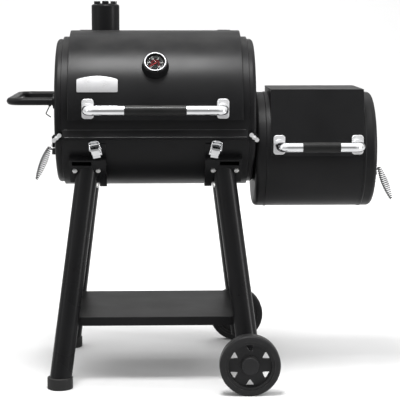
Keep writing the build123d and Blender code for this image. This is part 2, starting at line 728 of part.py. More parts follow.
def coil_handle(plane):
    """Outline of a wire coil handle that hangs outwards from the damper's lower rim."""
    lean = math.radians(COIL_LEAN)
    outwards = plane.z_dir
    along = Vector(0, 0, -1) * math.cos(lean) + outwards * math.sin(lean)
    start = plane.origin + outwards * 22 + Vector(0, 0, -5)
    section = Plane(origin=start, x_dir=along, z_dir=along.cross(outwards))
    with BuildPart() as coil:
        with BuildSketch(section):
            with BuildLine():
                outer = Spline((COIL_LEN, COIL_TIP_R), (COIL_LEN * 0.55, COIL_MAX_R), (0, COIL_TOP_R))
                inner = Spline((COIL_LEN, COIL_TIP_R - COIL_WIRE),
                               (COIL_LEN * 0.55, COIL_MAX_R - COIL_WIRE), (0, COIL_TOP_R - COIL_WIRE))
                Line(outer @ 0, inner @ 0)
                Line(outer @ 1, inner @ 1)
            make_face()
        revolve(axis=Axis(start, along))
    return coil.part


for name, plane in (("left", left_vent_plane), ("firebox", fire_vent_plane)):
    save(damper_disc(plane), f"{name}_damper_disc")
    save(coil_handle(plane), f"{name}_damper_coil")
save(Compound(children=[damper_pivot(left_vent_plane), damper_pivot(fire_vent_plane)]),
     "damper_pivots")

# ---- firebox --------------------------------------------------------------------------------
FIRE_OPEN_L = FIRE_LID_L + 8
FIRE_OPEN_R = FIRE_LID_R - 8
FIRE_OPEN_REAR = 62.0
FIRE_OPEN_FRONT = 176.0
with BuildPart() as firebox_shell:
    with BuildSketch(across(FIREBOX_SEAM_L, FIREBOX_Z)):
        Circle(FIREBOX_R)
        Circle(FIREBOX_R - SHEET, mode=Mode.SUBTRACT)
    extrude(amount=FIREBOX_SEAM_R - FIREBOX_SEAM_L)
    with BuildSketch(across(FIRE_OPEN_L, FIREBOX_Z)):
        add(arc_band(FIREBOX_R - 20, FIREBOX_R + 20, FIRE_OPEN_REAR, FIRE_OPEN_FRONT))
    extrude(amount=FIRE_OPEN_R - FIRE_OPEN_L, mode=Mode.SUBTRACT)
save(firebox_shell.part, "firebox_shell")

FIRE_CAP_CORNER = 14.0


def firebox_cap(face_x, seam_x, outwards):
    """Cap with a skirt level with the drum, a plug inside it and a rounded corner."""
    plane = Plane(origin=(BARREL_X, 0, FIREBOX_Z), x_dir=(1, 0, 0), z_dir=(0, -1, 0))
    corner_x = face_x - outwards * FIRE_CAP_CORNER
    plug_x = seam_x - outwards * CAP_PLUG
    inner = FIREBOX_R - SHEET
    with BuildPart() as cap:
        with BuildSketch(plane):
            with BuildLine():
                Polyline((plug_x, inner - 0.1), (seam_x, inner - 0.1), (seam_x, FIREBOX_R + 1.5),
                         (seam_x + outwards * 5, FIREBOX_R + 1.5), (seam_x + outwards * 7, FIREBOX_R),
                         (corner_x, FIREBOX_R))
                RadiusArc((corner_x, FIREBOX_R), (face_x, FIREBOX_R - FIRE_CAP_CORNER),
                          outwards * FIRE_CAP_CORNER)
                Polyline((face_x, FIREBOX_R - FIRE_CAP_CORNER), (face_x, 0),
                         (face_x - outwards * SHEET, 0),
                         (face_x - outwards * SHEET, FIREBOX_R - FIRE_CAP_CORNER))
                RadiusArc((face_x - outwards * SHEET, FIREBOX_R - FIRE_CAP_CORNER),
                          (corner_x, inner), -outwards * (FIRE_CAP_CORNER - SHEET))
                Polyline((corner_x, inner), (seam_x + outwards * 4, inner),
                         (seam_x + outwards * 2, inner - 2.1), (plug_x, inner - 2.1),
                         (plug_x, inner - 0.1))
            make_face()
        revolve(axis=firebox_axis)
    return cap.part


with BuildPart() as firebox_cap_left:
    add(firebox_cap(FIREBOX_LEFT, FIREBOX_SEAM_L, -1))
    with BuildSketch(across(FIREBOX_LEFT - 5, PORT_Z)):
        Circle(PORT_R)
        with PolarLocations(PORT_BOLT_R, 6, start_angle=30):
            Circle(4.1)
    extrude(amount=20, mode=Mode.SUBTRACT)
save(firebox_cap_left.part, "firebox_cap_left")

with BuildPart() as firebox_cap_right:
    add(firebox_cap(FIREBOX_RIGHT, FIREBOX_SEAM_R, 1))
    add(extrude(vent_slots(fire_vent_plane.offset(-20)), amount=40, mode=Mode.PRIVATE),
        mode=Mode.SUBTRACT)
save(firebox_cap_right.part, "firebox_cap_right")

FIRE_GRATE_HALF_Y = 140.0
fire_grate_z = -math.sqrt((FIREBOX_R - SHEET - GAP) ** 2 - FIRE_GRATE_HALF_Y**2)
save(bar_grate(fire_mid, FIREBOX_Z + fire_grate_z, 250.0, FIRE_GRATE_HALF_Y, 9, GRATE_T, BAR_W + 1),
     "firebox_grate")

# Firebox lid: one folded sheet with end plates that follow the drum.
FIRE_FRONT_TOP = (-150.0, FIRE_LID_TOP)
FIRE_BEND = (-168.0, 78.5)
FIRE_LOW = (-182.0, -6.0)
FIRE_REAR_LOW = (FIRE_LID_REAR, 156.0)
FIRE_SKIRT_R = FIREBOX_R + 1.5


def lid_outline(inset=0.0):
    """Folded profile of the firebox lid, closed along the drum at the given inset."""
    with BuildSketch() as outline:
        with BuildLine():
            folded = Polyline((FIRE_LID_REAR - inset, FIRE_REAR_LOW[1]),
                              (FIRE_LID_REAR - inset, FIRE_LID_TOP - inset),
                              (FIRE_FRONT_TOP[0] + inset, FIRE_LID_TOP - inset),
                              (FIRE_BEND[0] + inset, FIRE_BEND[1]),
                              (FIRE_LOW[0] + inset, FIRE_LOW[1]),
                              (0, FIRE_LOW[1]))
            Line(folded @ 1, folded @ 0)
        make_face()
    return outline.sketch


with BuildPart() as firebox_lid:
    with BuildSketch(across(FIRE_LID_L, FIREBOX_Z)):
        add(lid_outline())
    extrude(amount=FIRE_LID_R - FIRE_LID_L)
    with BuildSketch(across(FIRE_LID_L + SHEET, FIREBOX_Z)):
        add(lid_outline(SHEET))
        with Locations((0, -50)):
            Rectangle(2 * (-FIRE_LOW[0] - SHEET), 110)
        with Locations((FIRE_LID_REAR - 60 - SHEET, 100)):
            Rectangle(120, 120)
    extrude(amount=FIRE_LID_R - FIRE_LID_L - 2 * SHEET, mode=Mode.SUBTRACT)
    with BuildSketch(across(FIRE_LID_L - 5, FIREBOX_Z)):
        Circle(FIRE_SKIRT_R)
        with Locations((0, -90)):
            Rectangle(2 * -FIRE_LOW[0] - 2 * SHEET, 180)
    extrude(amount=FIRE_LID_R - FIRE_LID_L + 10, mode=Mode.SUBTRACT)
save(firebox_lid.part, "firebox_lid")

fire_leaves = []
for x in (fire_mid - FIRE_HINGE_X, fire_mid + FIRE_HINGE_X):
    with BuildPart() as fire_leaf:
        with BuildSketch(across(x - 0.5 * KNUCKLE + GAP, FIREBOX_Z)):
            add(knuckle_sketch(fire_hinge))
            with BuildLine():
                Polyline((FIRE_LID_REAR + 0.1, FIRE_HINGE_RISE + 2), (FIRE_LID_REAR + 0.1, 183),
                         (FIRE_LID_REAR + LEAF_T + 0.1, 183),
                         (FIRE_HINGE_Y + 2.5, FIRE_HINGE_RISE + KNUCKLE_R - 0.8),
                         (FIRE_HINGE_Y - 1.5, FIRE_HINGE_RISE + PIN_R + 0.5), close=True)
            make_face()
        extrude(amount=KNUCKLE - 2 * GAP)
        with BuildSketch(across(x - 1.5 * KNUCKLE, FIREBOX_Z)):
            with Locations((FIRE_LID_REAR + 0.1 + LEAF_T / 2, 176)):
                Rectangle(LEAF_T, 20)
        extrude(amount=3 * KNUCKLE)
    fire_leaves.append(fire_leaf.part)
save(Compound(children=fire_leaves), "firebox_hinge_leaves")

fire_face_y = FIRE_LOW[0] - 0.5
fire_plates = []
for side in (-1, 1):
    with BuildPart() as fire_plate:
        add(handle_plate(FIRE_HANDLE_MID + side * FIRE_HANDLE_X, fire_face_y, FIRE_HANDLE_Z, PLATE_H))
        with BuildSketch(Plane(origin=(BARREL_X + FIRE_HANDLE_MID + side * FIRE_HANDLE_X,
                                       fire_face_y, FIRE_HANDLE_Z), x_dir=(1, 0, 0),
                               z_dir=(0, 1, 0))):
            RectangleRounded(PLATE_W - 3, PLATE_H - 3, 7.5)
        extrude(amount=14)
        with BuildSketch(across(FIRE_LID_L - 5, FIREBOX_Z)):
            with BuildLine():
                Polyline((FIRE_BEND[0] - 0.1, FIRE_BEND[1]), (FIRE_LOW[0] - 0.1, FIRE_LOW[1]),
                         (FIRE_LOW[0] - 0.1, -60), (-60, -60), (-60, FIRE_BEND[1]), close=True)
            make_face()
        extrude(amount=FIRE_LID_R - FIRE_LID_L + 10, mode=Mode.SUBTRACT)
    fire_plates.append(fire_plate.part)
save(Compound(children=fire_plates), "firebox_handle_plates")
save(handle_tube(FIRE_HANDLE_MID, FIRE_HANDLE_X, fire_face_y, FIRE_HANDLE_Z, FIRE_HANDLE_REACH),
     "firebox_handle_tube")
save(handle_grip(FIRE_HANDLE_MID, 55.5, fire_face_y - FIRE_HANDLE_REACH, FIRE_HANDLE_Z),
     "firebox_handle_grip")

# ---- legs and brackets ----------------------------------------------------------------------
BRACKET_T = 3.0
BRACKET_TOP = 672.0
BRACKET_LOW_IN = 584.0
BRACKET_LOW_OUT = 600.0
STRIP_TOP = 722.0
STRIP_W = 52.0
SLOT_LOW, SLOT_HIGH = 655.0, 668.0


def below_angle(z, radius):
    """Angle from the rear horizontal to the front of a circle at a height."""
    return 180 + math.degrees(math.asin((BARREL_Z - z) / radius))


LEG_BOLT_Z = 641.0
LEG_BOLT_X = (170.8, 240.3)  # either side of the leg's top, from the barrel's middle
CHEEK_BOLT_Z = BRACKET_LOW_IN + 10
BOLT_HOLE = 4.1


def bracket_bolt_plane(side, front, x):
    """Plane on the bracket's curve where a bolt head sits."""
    rise = BARREL_Z - LEG_BOLT_Z
    out = Vector(0, -front * circle_y(BRACKET_R, rise), -rise).normalized()
    centre = Vector(BARREL_X + side * x, 0, BARREL_Z) + out * BRACKET_R
    return Plane(origin=centre, x_dir=(1, 0, 0), z_dir=out)


def leg_bolt_plane(side, front):
    """Plane on the inner side of a leg's top where the cross bolt's head sits."""
    inner = leg_point(side, front, CHEEK_BOLT_Z) - Vector(side * (LEG_R + 1.4), 0, 0)
    return Plane(origin=inner, x_dir=(0, 1, 0), z_dir=(-side, 0, 0))


def leg_bracket():
    """Front left bracket: a curved box under the shell, cut to take the leg's top."""
    top = below_angle(BRACKET_TOP, BRACKET_R)
    low_in = below_angle(BRACKET_LOW_IN, BRACKET_R)
    low_out = below_angle(BRACKET_LOW_OUT, BRACKET_R)
    strip_w = 22.0
    with BuildPart() as bracket:
        with BuildSketch(across(-BRACKET_OUTER)):
            add(arc_band(BARREL_R + 0.1, BRACKET_R, top, low_out))
        extrude(amount=BRACKET_OUTER - BRACKET_INNER)
        with BuildSketch(across(-BRACKET_INNER - strip_w)):
            add(arc_band(BARREL_R + 0.1, BRACKET_R, top, low_in))
        extrude(amount=strip_w)
        with BuildSketch(across(-BRACKET_OUTER + BRACKET_T)):
            wall = math.degrees(BRACKET_T / BRACKET_R)
            add(arc_band(BARREL_R - 5, BRACKET_R - BRACKET_T, top + wall, low_in + 20))
        extrude(amount=BRACKET_OUTER - BRACKET_INNER - 2 * BRACKET_T, mode=Mode.SUBTRACT)
        with BuildSketch(across(-BRACKET_OUTER + 8)):
            add(arc_band(BRACKET_R - 12, BRACKET_R + 10, below_angle(SLOT_HIGH, BRACKET_R),
                         below_angle(SLOT_LOW, BRACKET_R)))
        extrude(amount=58, mode=Mode.SUBTRACT)
        with BuildSketch(across(-BRACKET_INNER - STRIP_W)):
            add(arc_band(BARREL_R + 0.1, BARREL_R + 0.1 + BRACKET_T,
                         below_angle(STRIP_TOP, BARREL_R), top + 1))
        extrude(amount=STRIP_W)
        for x in LEG_BOLT_X:
            with BuildSketch(bracket_bolt_plane(-1, -1, x)):
                Circle(BOLT_HOLE)
            extrude(amount=-2 * BRACKET_T, mode=Mode.SUBTRACT)
    return bracket.part


def leg_tube(side, front, bottom, level):
    """Round tube leg with its top cut to the bracket's curve."""
    base = leg_plane(side, front, bottom)
    with BuildPart() as leg:
        with BuildSketch(base):
            Circle(LEG_R)
            Circle(LEG_R - LEG_WALL, mode=Mode.SUBTRACT)
        extrude(amount=740)
        with BuildSketch(across(-BARREL_END)):
            Circle(BRACKET_R + 0.2)
        extrude(amount=2 * BARREL_END, mode=Mode.SUBTRACT)
        split(bisect_by=Plane.XY.offset(level), keep=Keep.TOP)
        split(bisect_by=Plane.XY.offset(BRACKET_LOW_IN + 100), keep=Keep.BOTTOM)
        with BuildSketch(leg_bolt_plane(side, front).offset(10)):
            Circle(BOLT_HOLE)
        extrude(amount=-10 - LEG_R, mode=Mode.SUBTRACT)
        if side > 0:
            with BuildSketch(Plane(origin=(BARREL_X + WHEEL_X, 0, WHEEL_R), x_dir=(1, 0, 0),
                                   z_dir=(0, front, 0))):
                Circle(AXLE_R + 0.05)
            extrude(amount=WHEEL_Y, mode=Mode.SUBTRACT)
    return leg.part


middle = Plane(origin=(BARREL_X, 0, 0), x_dir=(0, 1, 0), z_dir=(1, 0, 0))
bracket_front_left = leg_bracket()
bracket_front_right = mirror(bracket_front_left, about=middle)
corners = {"front_left": (-1, -1), "front_right": (1, -1), "rear_left": (-1, 1),
           "rear_right": (1, 1)}
for corner, (side, front) in corners.items():
    piece = bracket_front_left if side < 0 else bracket_front_right
    if front > 0:
        piece = mirror(piece, about=Plane.XZ)
    save(piece, f"leg_bracket_{corner}")
    save(leg_tube(side, front, -20 if side < 0 else 20, 8 if side < 0 else 44), f"leg_{corner}")

FOOT_R = 38.0
FOOT_H = 34.0
feet = []
for front in (-1, 1):
    centre = leg_point(-1, front, FOOT_H / 2)
    with BuildPart() as foot:
        with BuildSketch(Plane.XY):
            with Locations((centre.X, centre.Y)):
                Circle(FOOT_R)
        extrude(amount=FOOT_H)
        fillet(foot.edges().filter_by(GeomType.CIRCLE), radius=2.5)
        with BuildSketch(leg_plane(-1, front, -20)):
            Circle(LEG_R + 0.1)
        leg_hole = extrude(amount=120, mode=Mode.PRIVATE)
        add(split(leg_hole, bisect_by=Plane.XY.offset(8 - 0.1), keep=Keep.TOP, mode=Mode.PRIVATE),
            mode=Mode.SUBTRACT)
    feet.append(foot.part)
for front in (-1, 1):
    with BuildPart() as plug:
        with BuildSketch(leg_plane(1, front, 20)):
            Circle(LEG_R)
        extrude(amount=60)
        split(bisect_by=Plane.XY.offset(43.9), keep=Keep.BOTTOM)
        split(bisect_by=Plane.XY.offset(38), keep=Keep.TOP)
    feet.append(plug.part)
save(Compound(children=feet), "leg_feet")

# ---- shelf, axle and wheels -----------------------------------------------------------------
with BuildPart() as bottom_shelf:
    with BuildSketch(Plane(origin=(BARREL_X, 0, SHELF_Z - SHELF_LIP))):
        Rectangle(2 * SHELF_HALF_X, 2 * SHELF_HALF_Y)
    extrude(amount=SHELF_LIP)
    with BuildSketch(Plane(origin=(BARREL_X, 0, SHELF_Z - SHELF_LIP + SHEET))):
        Rectangle(2 * (SHELF_HALF_X - SHEET), 2 * (SHELF_HALF_Y - SHEET))
    extrude(amount=SHELF_LIP - 2 * SHEET, mode=Mode.SUBTRACT)
    with BuildSketch(Plane(origin=(BARREL_X, 0, SHELF_Z - SHELF_LIP))):
        Rectangle(2 * (SHELF_HALF_X - 14), 2 * (SHELF_HALF_Y - 14))
    extrude(amount=SHEET, mode=Mode.SUBTRACT)
    for side in (-1, 1):
        for front in (-1, 1):
            with BuildSketch(leg_plane(side, front, SHELF_Z - 100)):
                Circle(LEG_R + 0.2)
            extrude(amount=200, mode=Mode.SUBTRACT)
    fillet(bottom_shelf.faces().sort_by(Axis.Z)[-1].edges().filter_by(Axis.X), radius=1.5)
save(bottom_shelf.part, "bottom_shelf")

AXLE_HALF = WHEEL_Y + 19.0
with BuildPart() as wheel_axle:
    with BuildSketch(Plane(origin=(BARREL_X + WHEEL_X, -AXLE_HALF, WHEEL_R), x_dir=(1, 0, 0),
                           z_dir=(0, 1, 0))):
        Circle(AXLE_R)
    extrude(amount=2 * AXLE_HALF)
    for side in (-1, 1):
        with BuildSketch(Plane(origin=(BARREL_X + WHEEL_X, side * (WHEEL_Y - 26), WHEEL_R),
                               x_dir=(1, 0, 0), z_dir=(0, -side, 0))):
            Circle(14)
        extrude(amount=4)
save(wheel_axle.part, "wheel_axle")

HUB_R = 28.0
WEB_HALF = 6.0
RIM_IN = 64.0
RIM_OUT = 72.0


def spoke_window():
    """Triangular window in a wheel's web, its point towards the hub."""
    with BuildSketch() as window:
        Polygon((40, 0), (60, 13.5), (60, -13.5), align=None)
        fillet(window.vertices(), radius=2.5)
    return window.sketch


def make_wheel(side):
    """Moulded wheel: tyre, rim, six-window web and a hub closed on the outside."""
    out = Plane(origin=(BARREL_X + WHEEL_X, side * WHEEL_Y, WHEEL_R), x_dir=(1, 0, 0),
                z_dir=(0, side, 0))
    with BuildPart() as wheel:
        with BuildSketch(out.offset(-WHEEL_HALF_W)):
            Circle(WHEEL_R)
            Circle(RIM_OUT, mode=Mode.SUBTRACT)
        extrude(amount=2 * WHEEL_HALF_W)
        shoulders = wheel.edges().filter_by(lambda edge: edge.geom_type == GeomType.CIRCLE
                                            and edge.radius > WHEEL_R - 1)
        fillet(shoulders, radius=6)
        with BuildSketch(out.offset(-WHEEL_HALF_W + 3)):
            Circle(RIM_OUT + 1)
            Circle(RIM_IN, mode=Mode.SUBTRACT)
        extrude(amount=2 * WHEEL_HALF_W - 6)
        with BuildSketch(out.offset(-WEB_HALF)):
            Circle(RIM_IN + 1)
            with PolarLocations(0, 6, start_angle=30):
                add(spoke_window(), mode=Mode.SUBTRACT)
        extrude(amount=2 * WEB_HALF)
        with BuildSketch(out.offset(-WHEEL_HALF_W)):
            Circle(HUB_R - 6)
        extrude(amount=2 * WHEEL_HALF_W - 3)
        with BuildSketch(out.offset(WEB_HALF)):
            Circle(HUB_R)
        extrude(amount=WHEEL_HALF_W - WEB_HALF + 3, taper=8)
        cap_edge = wheel.faces().sort_by(Axis(out.origin, out.z_dir))[-1].edges()
        fillet(cap_edge, radius=3)
        with BuildSketch(out.offset(-WHEEL_HALF_W)):
            Circle(AXLE_R + 0.05)
        extrude(amount=2 * WHEEL_HALF_W - 1, mode=Mode.SUBTRACT)
    return wheel.part


save(make_wheel(-1), "wheel_front")
save(make_wheel(1), "wheel_rear")

# ---- push handle and tool hook --------------------------------------------------------------
LOOP_CORNER = 36.0
FLANGE_R = 21.0
FLANGE_T = 4.0
loop_root = -CAP_FACE - 1
with BuildPart() as side_handle_loop:
    with BuildLine() as loop_path:
        FilletPolyline((BARREL_X + loop_root, -LOOP_Y, LOOP_Z),
                       (BARREL_X - LOOP_X, -LOOP_Y, LOOP_Z), (BARREL_X - LOOP_X, LOOP_Y, LOOP_Z),
                       (BARREL_X + loop_root, LOOP_Y, LOOP_Z), radius=LOOP_CORNER)
    with BuildSketch(Plane(origin=loop_path.line @ 0, z_dir=loop_path.line % 0)):
        Circle(LOOP_R)
        Circle(LOOP_R - 1.5, mode=Mode.SUBTRACT)
    sweep()
    for front in (-1, 1):
        with BuildSketch(Plane(origin=(BARREL_X - CAP_FACE, front * LOOP_Y, LOOP_Z),
                               x_dir=(0, -1, 0), z_dir=(-1, 0, 0))):
            Circle(FLANGE_R)
        extrude(amount=FLANGE_T)
save(side_handle_loop.part, "side_handle_loop")

HOOK_WIRE = 1.6
hook_top = (BARREL_X - 312.0, -LOOP_Y, LOOP_Z - LOOP_R - 1.5)
hook_out = (BARREL_X - 324.0, -LOOP_Y, LOOP_Z - 36.0)
hook_low = (BARREL_X - 309.0, -LOOP_Y, LOOP_Z - 46.0)
with BuildPart() as tool_hook:
    with BuildLine() as hook_path:
        FilletPolyline(hook_top, hook_out, hook_low, radius=4)
    with BuildSketch(Plane(origin=hook_path.line @ 0, z_dir=hook_path.line % 0)):
        Circle(HOOK_WIRE)
    sweep()
    with BuildSketch(Plane(origin=(hook_top[0], hook_top[1], LOOP_Z - LOOP_R - 0.05),
                           x_dir=(1, 0, 0), z_dir=(0, 0, -1))):
        Circle(4)
    extrude(amount=3)
save(tool_hook.part, "tool_hook")

# ---- draw latches that hold the barrel down on its cradle -----------------------------------
LATCH_PIVOT = (6.0, 9.5)      # up the face and out from it
BAIL_PIVOT = (4.5, 15.0)
EAR_R = 3.7                   # stays inside the circle the wire's end runs on
BAIL_WIRE = 1.5
BAIL_HALF = 15.0
BAIL_TOP = (27.5, 5.8)


def latch_plane(side):
    """Plane on the cradle strip: z outwards, y up and leaning away from the middle."""
    angle = math.radians(LATCH_ANGLE)
    tilt = math.radians(LATCH_TILT)
    out = Vector(0, -math.cos(angle), -math.sin(angle))
    up = Vector(0, -math.sin(angle), math.cos(angle)) * math.cos(tilt)
    up = up + Vector(side * math.sin(tilt), 0, 0)
    origin = Vector(BARREL_X + side * LATCH_X, 0, BARREL_Z) + out * (BARREL_R + BRACKET_T + 1.6)
    return Plane(origin=origin, x_dir=up.cross(out), z_dir=out)


def side_plane(plane, x):
    """Plane square to the latch's width: its x runs up the face and its y outwards."""
    return Plane(origin=plane.origin + plane.x_dir * x, x_dir=plane.y_dir, z_dir=plane.x_dir)


def latch_base(side):
    """Base plate with two ears for the lever's pin."""
    plane = latch_plane(side)
    with BuildPart() as base:
        with BuildSketch(plane):
            with Locations((0, -3)):
                RectangleRounded(30, 42, 3)
        extrude(amount=1.6)
        with BuildSketch(plane):
            with Locations((0, -3)):
                Rectangle(26, 38)
        extrude(amount=-1.5)
        for x in (-13.5, 12.0):
            with BuildSketch(side_plane(plane, x)):
                with BuildLine():
                    Polyline((-3, 1), (13, 1), (9.2, 8), (2.8, 8), close=True)
                make_face()
                with Locations(LATCH_PIVOT):
                    Circle(EAR_R)
            extrude(amount=1.5)
        with BuildSketch(side_plane(plane, -13.5)):
            with Locations(LATCH_PIVOT):
                Circle(1.5)
        extrude(amount=27)
        with BuildSketch(across(-BARREL_END)):
            Circle(BARREL_R + BRACKET_T + 0.15)
        extrude(amount=2 * BARREL_END, mode=Mode.SUBTRACT)
    return base.part


def latch_lever(side):
    """Pressed lever that lies over the base, flared at its free end."""
    plane = latch_plane(side)
    with BuildPart() as lever:
        with BuildSketch(side_plane(plane, -11.2)):
            with BuildLine():
                Polyline((11, 7), (9, 15.5), (4, 18.5), (-15, 13.5), (-22, 15.5), (-22.5, 13.5),
                         (-15, 11), (-13, 6.5), (2, 6), close=True)
            make_face()
        extrude(amount=22.4)
        with BuildSketch(side_plane(plane, -9.8)):
            with BuildLine():
                Polyline((13, 3), (7.5, 13.3), (3, 16.6), (-14.5, 11.9), (-16, 3), close=True)
            make_face()
        extrude(amount=19.6, mode=Mode.SUBTRACT)
        with BuildSketch(side_plane(plane, -12)):
            with Locations(LATCH_PIVOT):
                Circle(1.56)
            with Locations(BAIL_PIVOT):
                Circle(BAIL_WIRE + 0.06)
        extrude(amount=24, mode=Mode.SUBTRACT)
    return lever.part


def latch_bail(side):
    """Wire loop from the lever up and over the keeper."""
    plane = latch_plane(side)

    def local(x, up, out):
        return plane.from_local_coords(Vector(x, up, out))

    with BuildPart() as bail:
        with BuildLine() as wire:
            FilletPolyline(local(-8, *BAIL_PIVOT), local(-BAIL_HALF - 1.5, *BAIL_PIVOT),
                           local(-BAIL_HALF + 1, *BAIL_TOP), local(BAIL_HALF - 1, *BAIL_TOP),
                           local(BAIL_HALF + 1.5, *BAIL_PIVOT), local(8, *BAIL_PIVOT), radius=3)
        with BuildSketch(Plane(origin=wire.line @ 0, z_dir=wire.line % 0)):
            Circle(BAIL_WIRE)
        sweep()
    return bail.part


def latch_keeper(side):
    """Ledge on the shell that the wire loop pulls down on."""
    plane = latch_plane(side)
    with BuildPart() as keeper:
        with BuildSketch(side_plane(plane, -9)):
            with BuildLine():
                Polyline((22.6, 8.4), (25.1, 9.4), (24.1, 1.5), (29, 1.5), (29, -2.0), (20.5, -2.0),
                         close=True)
            make_face()
        extrude(amount=18)
        with BuildSketch(across(-BARREL_END)):
            Circle(BARREL_R + 0.05)
        extrude(amount=2 * BARREL_END, mode=Mode.SUBTRACT)
    return keeper.part


save(Compound(children=[latch_base(-1), latch_base(1)]), "latch_bases")
save(Compound(children=[latch_keeper(-1), latch_keeper(1)]), "latch_keepers")
for name, side in (("left", -1), ("right", 1)):
    save(latch_lever(side), f"latch_lever_{name}")
    save(latch_bail(side), f"latch_bail_{name}")

# ---- bolts ----------------------------------------------------------------------------------
bolts = []
for side in (-1, 1):
    for front in (-1, 1):
        for x in LEG_BOLT_X:
            bolts.append(hex_bolt(bracket_bolt_plane(side, front, x)))
        bolts.append(hex_bolt(leg_bolt_plane(side, front)))
for angle in range(30, 360, 60):
    y, z = turned(PORT_BOLT_R, angle)
    bolts.append(hex_bolt(Plane(origin=(BARREL_X + CAP_FACE - SHEET - 0.6, y, PORT_Z + z),
                                x_dir=(0, 1, 0), z_dir=(-1, 0, 0)), depth=7.0))
save(Compound(children=bolts), "hex_bolts")
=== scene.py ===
# %% [markdown]
# # The looks of an offset smoker
# The smoker is a rolled steel barrel with a hinged lid, a chimney, and a lower firebox bolted to
# its right end. The solid parts are already right in shape and size, so this lesson gives them
# their finishes and adds what sheet steel alone can't show: wire coil handles, the printed
# dial of the heat gauge, weld beads, lamps, a floor and a camera.

# %% Load the frame
import json
import math

import bpy
import numpy as np
from mathutils import Matrix, Vector


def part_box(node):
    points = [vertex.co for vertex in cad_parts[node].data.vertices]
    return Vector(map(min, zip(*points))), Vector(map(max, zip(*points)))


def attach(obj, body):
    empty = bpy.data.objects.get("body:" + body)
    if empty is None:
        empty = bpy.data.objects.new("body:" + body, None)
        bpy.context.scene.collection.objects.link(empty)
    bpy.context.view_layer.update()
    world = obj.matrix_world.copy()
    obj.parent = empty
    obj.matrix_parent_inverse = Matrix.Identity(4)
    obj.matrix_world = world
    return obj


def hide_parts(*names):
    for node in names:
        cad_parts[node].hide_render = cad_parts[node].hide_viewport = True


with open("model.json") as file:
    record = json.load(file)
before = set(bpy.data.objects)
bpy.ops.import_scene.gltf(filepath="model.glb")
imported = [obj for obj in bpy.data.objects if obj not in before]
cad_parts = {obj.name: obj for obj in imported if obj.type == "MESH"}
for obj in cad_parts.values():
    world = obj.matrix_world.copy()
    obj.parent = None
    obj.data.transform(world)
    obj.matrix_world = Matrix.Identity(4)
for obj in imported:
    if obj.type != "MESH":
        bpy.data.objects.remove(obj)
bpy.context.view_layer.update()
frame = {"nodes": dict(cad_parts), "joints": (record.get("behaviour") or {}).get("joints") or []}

JOINTS = {joint["name"]: joint for joint in frame["joints"]}
NODES = frame["nodes"]
print("parts in the frame:", len(NODES))

# %% [markdown]
# Every place is read from the parts themselves. The barrel's middle and axis come from its
# shell, and the two joints with a wire handle give the pivots of the air dampers. Working from
# these means that nothing has to be moved by hand later.

# %% Measure the main places
MM = 0.001


def middle(node):
    """Centre of a part's box."""
    low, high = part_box(node)
    return (low + high) / 2


BARREL = middle("barrel_shell")
BARREL_LOW, BARREL_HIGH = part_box("barrel_shell")
BARREL_RADIUS = (BARREL_HIGH.y - BARREL_LOW.y) / 2
BARREL_Z = BARREL_LOW.z + BARREL_RADIUS
FIREBOX = middle("firebox_shell")
FIREBOX_LOW, FIREBOX_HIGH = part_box("firebox_shell")
FIREBOX_RADIUS = (FIREBOX_HIGH.y - FIREBOX_LOW.y) / 2
FIREBOX_Z = FIREBOX_LOW.z + FIREBOX_RADIUS
print("barrel radius, axis height:", round(BARREL_RADIUS, 4), round(BARREL_Z, 4))

# %% [markdown]
# ## Building blocks of the finishes
# A real finish is never one flat colour. Powder paint has a fine orange-peel skin, edges rub
# shiny, dust settles on what faces up, and soot coats the inside. Each such effect is used by
# several finishes, so each is a node group made once: it gives out a mask or a height, and the
# material decides what to do with it. A few small helpers keep the node code short.

# %% Helpers for node trees
def add_node(tree, kind, **settings):
    """A new node with its settings applied."""
    node = tree.nodes.new(kind)
    for name, value in settings.items():
        setattr(node, name, value)
    return node


def calculate(tree, operation, first, second=None, clamp=False):
    """A maths node; each side is a number or another node's output."""
    node = add_node(tree, "ShaderNodeMath", operation=operation, use_clamp=clamp)
    for place, value in enumerate((first, second)):
        if value is None:
            continue
        if isinstance(value, (int, float)):
            node.inputs[place].default_value = value
        else:
            tree.links.new(value, node.inputs[place])
    return node.outputs[0]


def remap(tree, value, low, high, to_low=0.0, to_high=1.0):
    """Stretch a range of values onto another, clamped."""
    node = add_node(tree, "ShaderNodeMapRange")
    tree.links.new(value, node.inputs["Value"])
    for name, number in (("From Min", low), ("From Max", high),
                         ("To Min", to_low), ("To Max", to_high)):
        if isinstance(number, (int, float)):
            node.inputs[name].default_value = number
        else:
            tree.links.new(number, node.inputs[name])
    return node.outputs["Result"]


def start_group(name, numbers, outputs):
    """An empty node group with named number inputs and outputs."""
    tree = bpy.data.node_groups.new(name, "ShaderNodeTree")
    for label, value in numbers.items():
        socket = tree.interface.new_socket(name=label, in_out="INPUT",
                                           socket_type="NodeSocketFloat")
        socket.default_value = value
    for label in outputs:
        tree.interface.new_socket(name=label, in_out="OUTPUT", socket_type="NodeSocketFloat")
    enter = add_node(tree, "NodeGroupInput")
    leave = add_node(tree, "NodeGroupOutput")
    return tree, enter, leave


# %% [markdown]
# Edges of painted steel wear first. A bevel node gives the normal that a rounded edge would
# have; where it differs from the true normal there is an edge. Noise breaks the line up, since
# rubbing is never even.

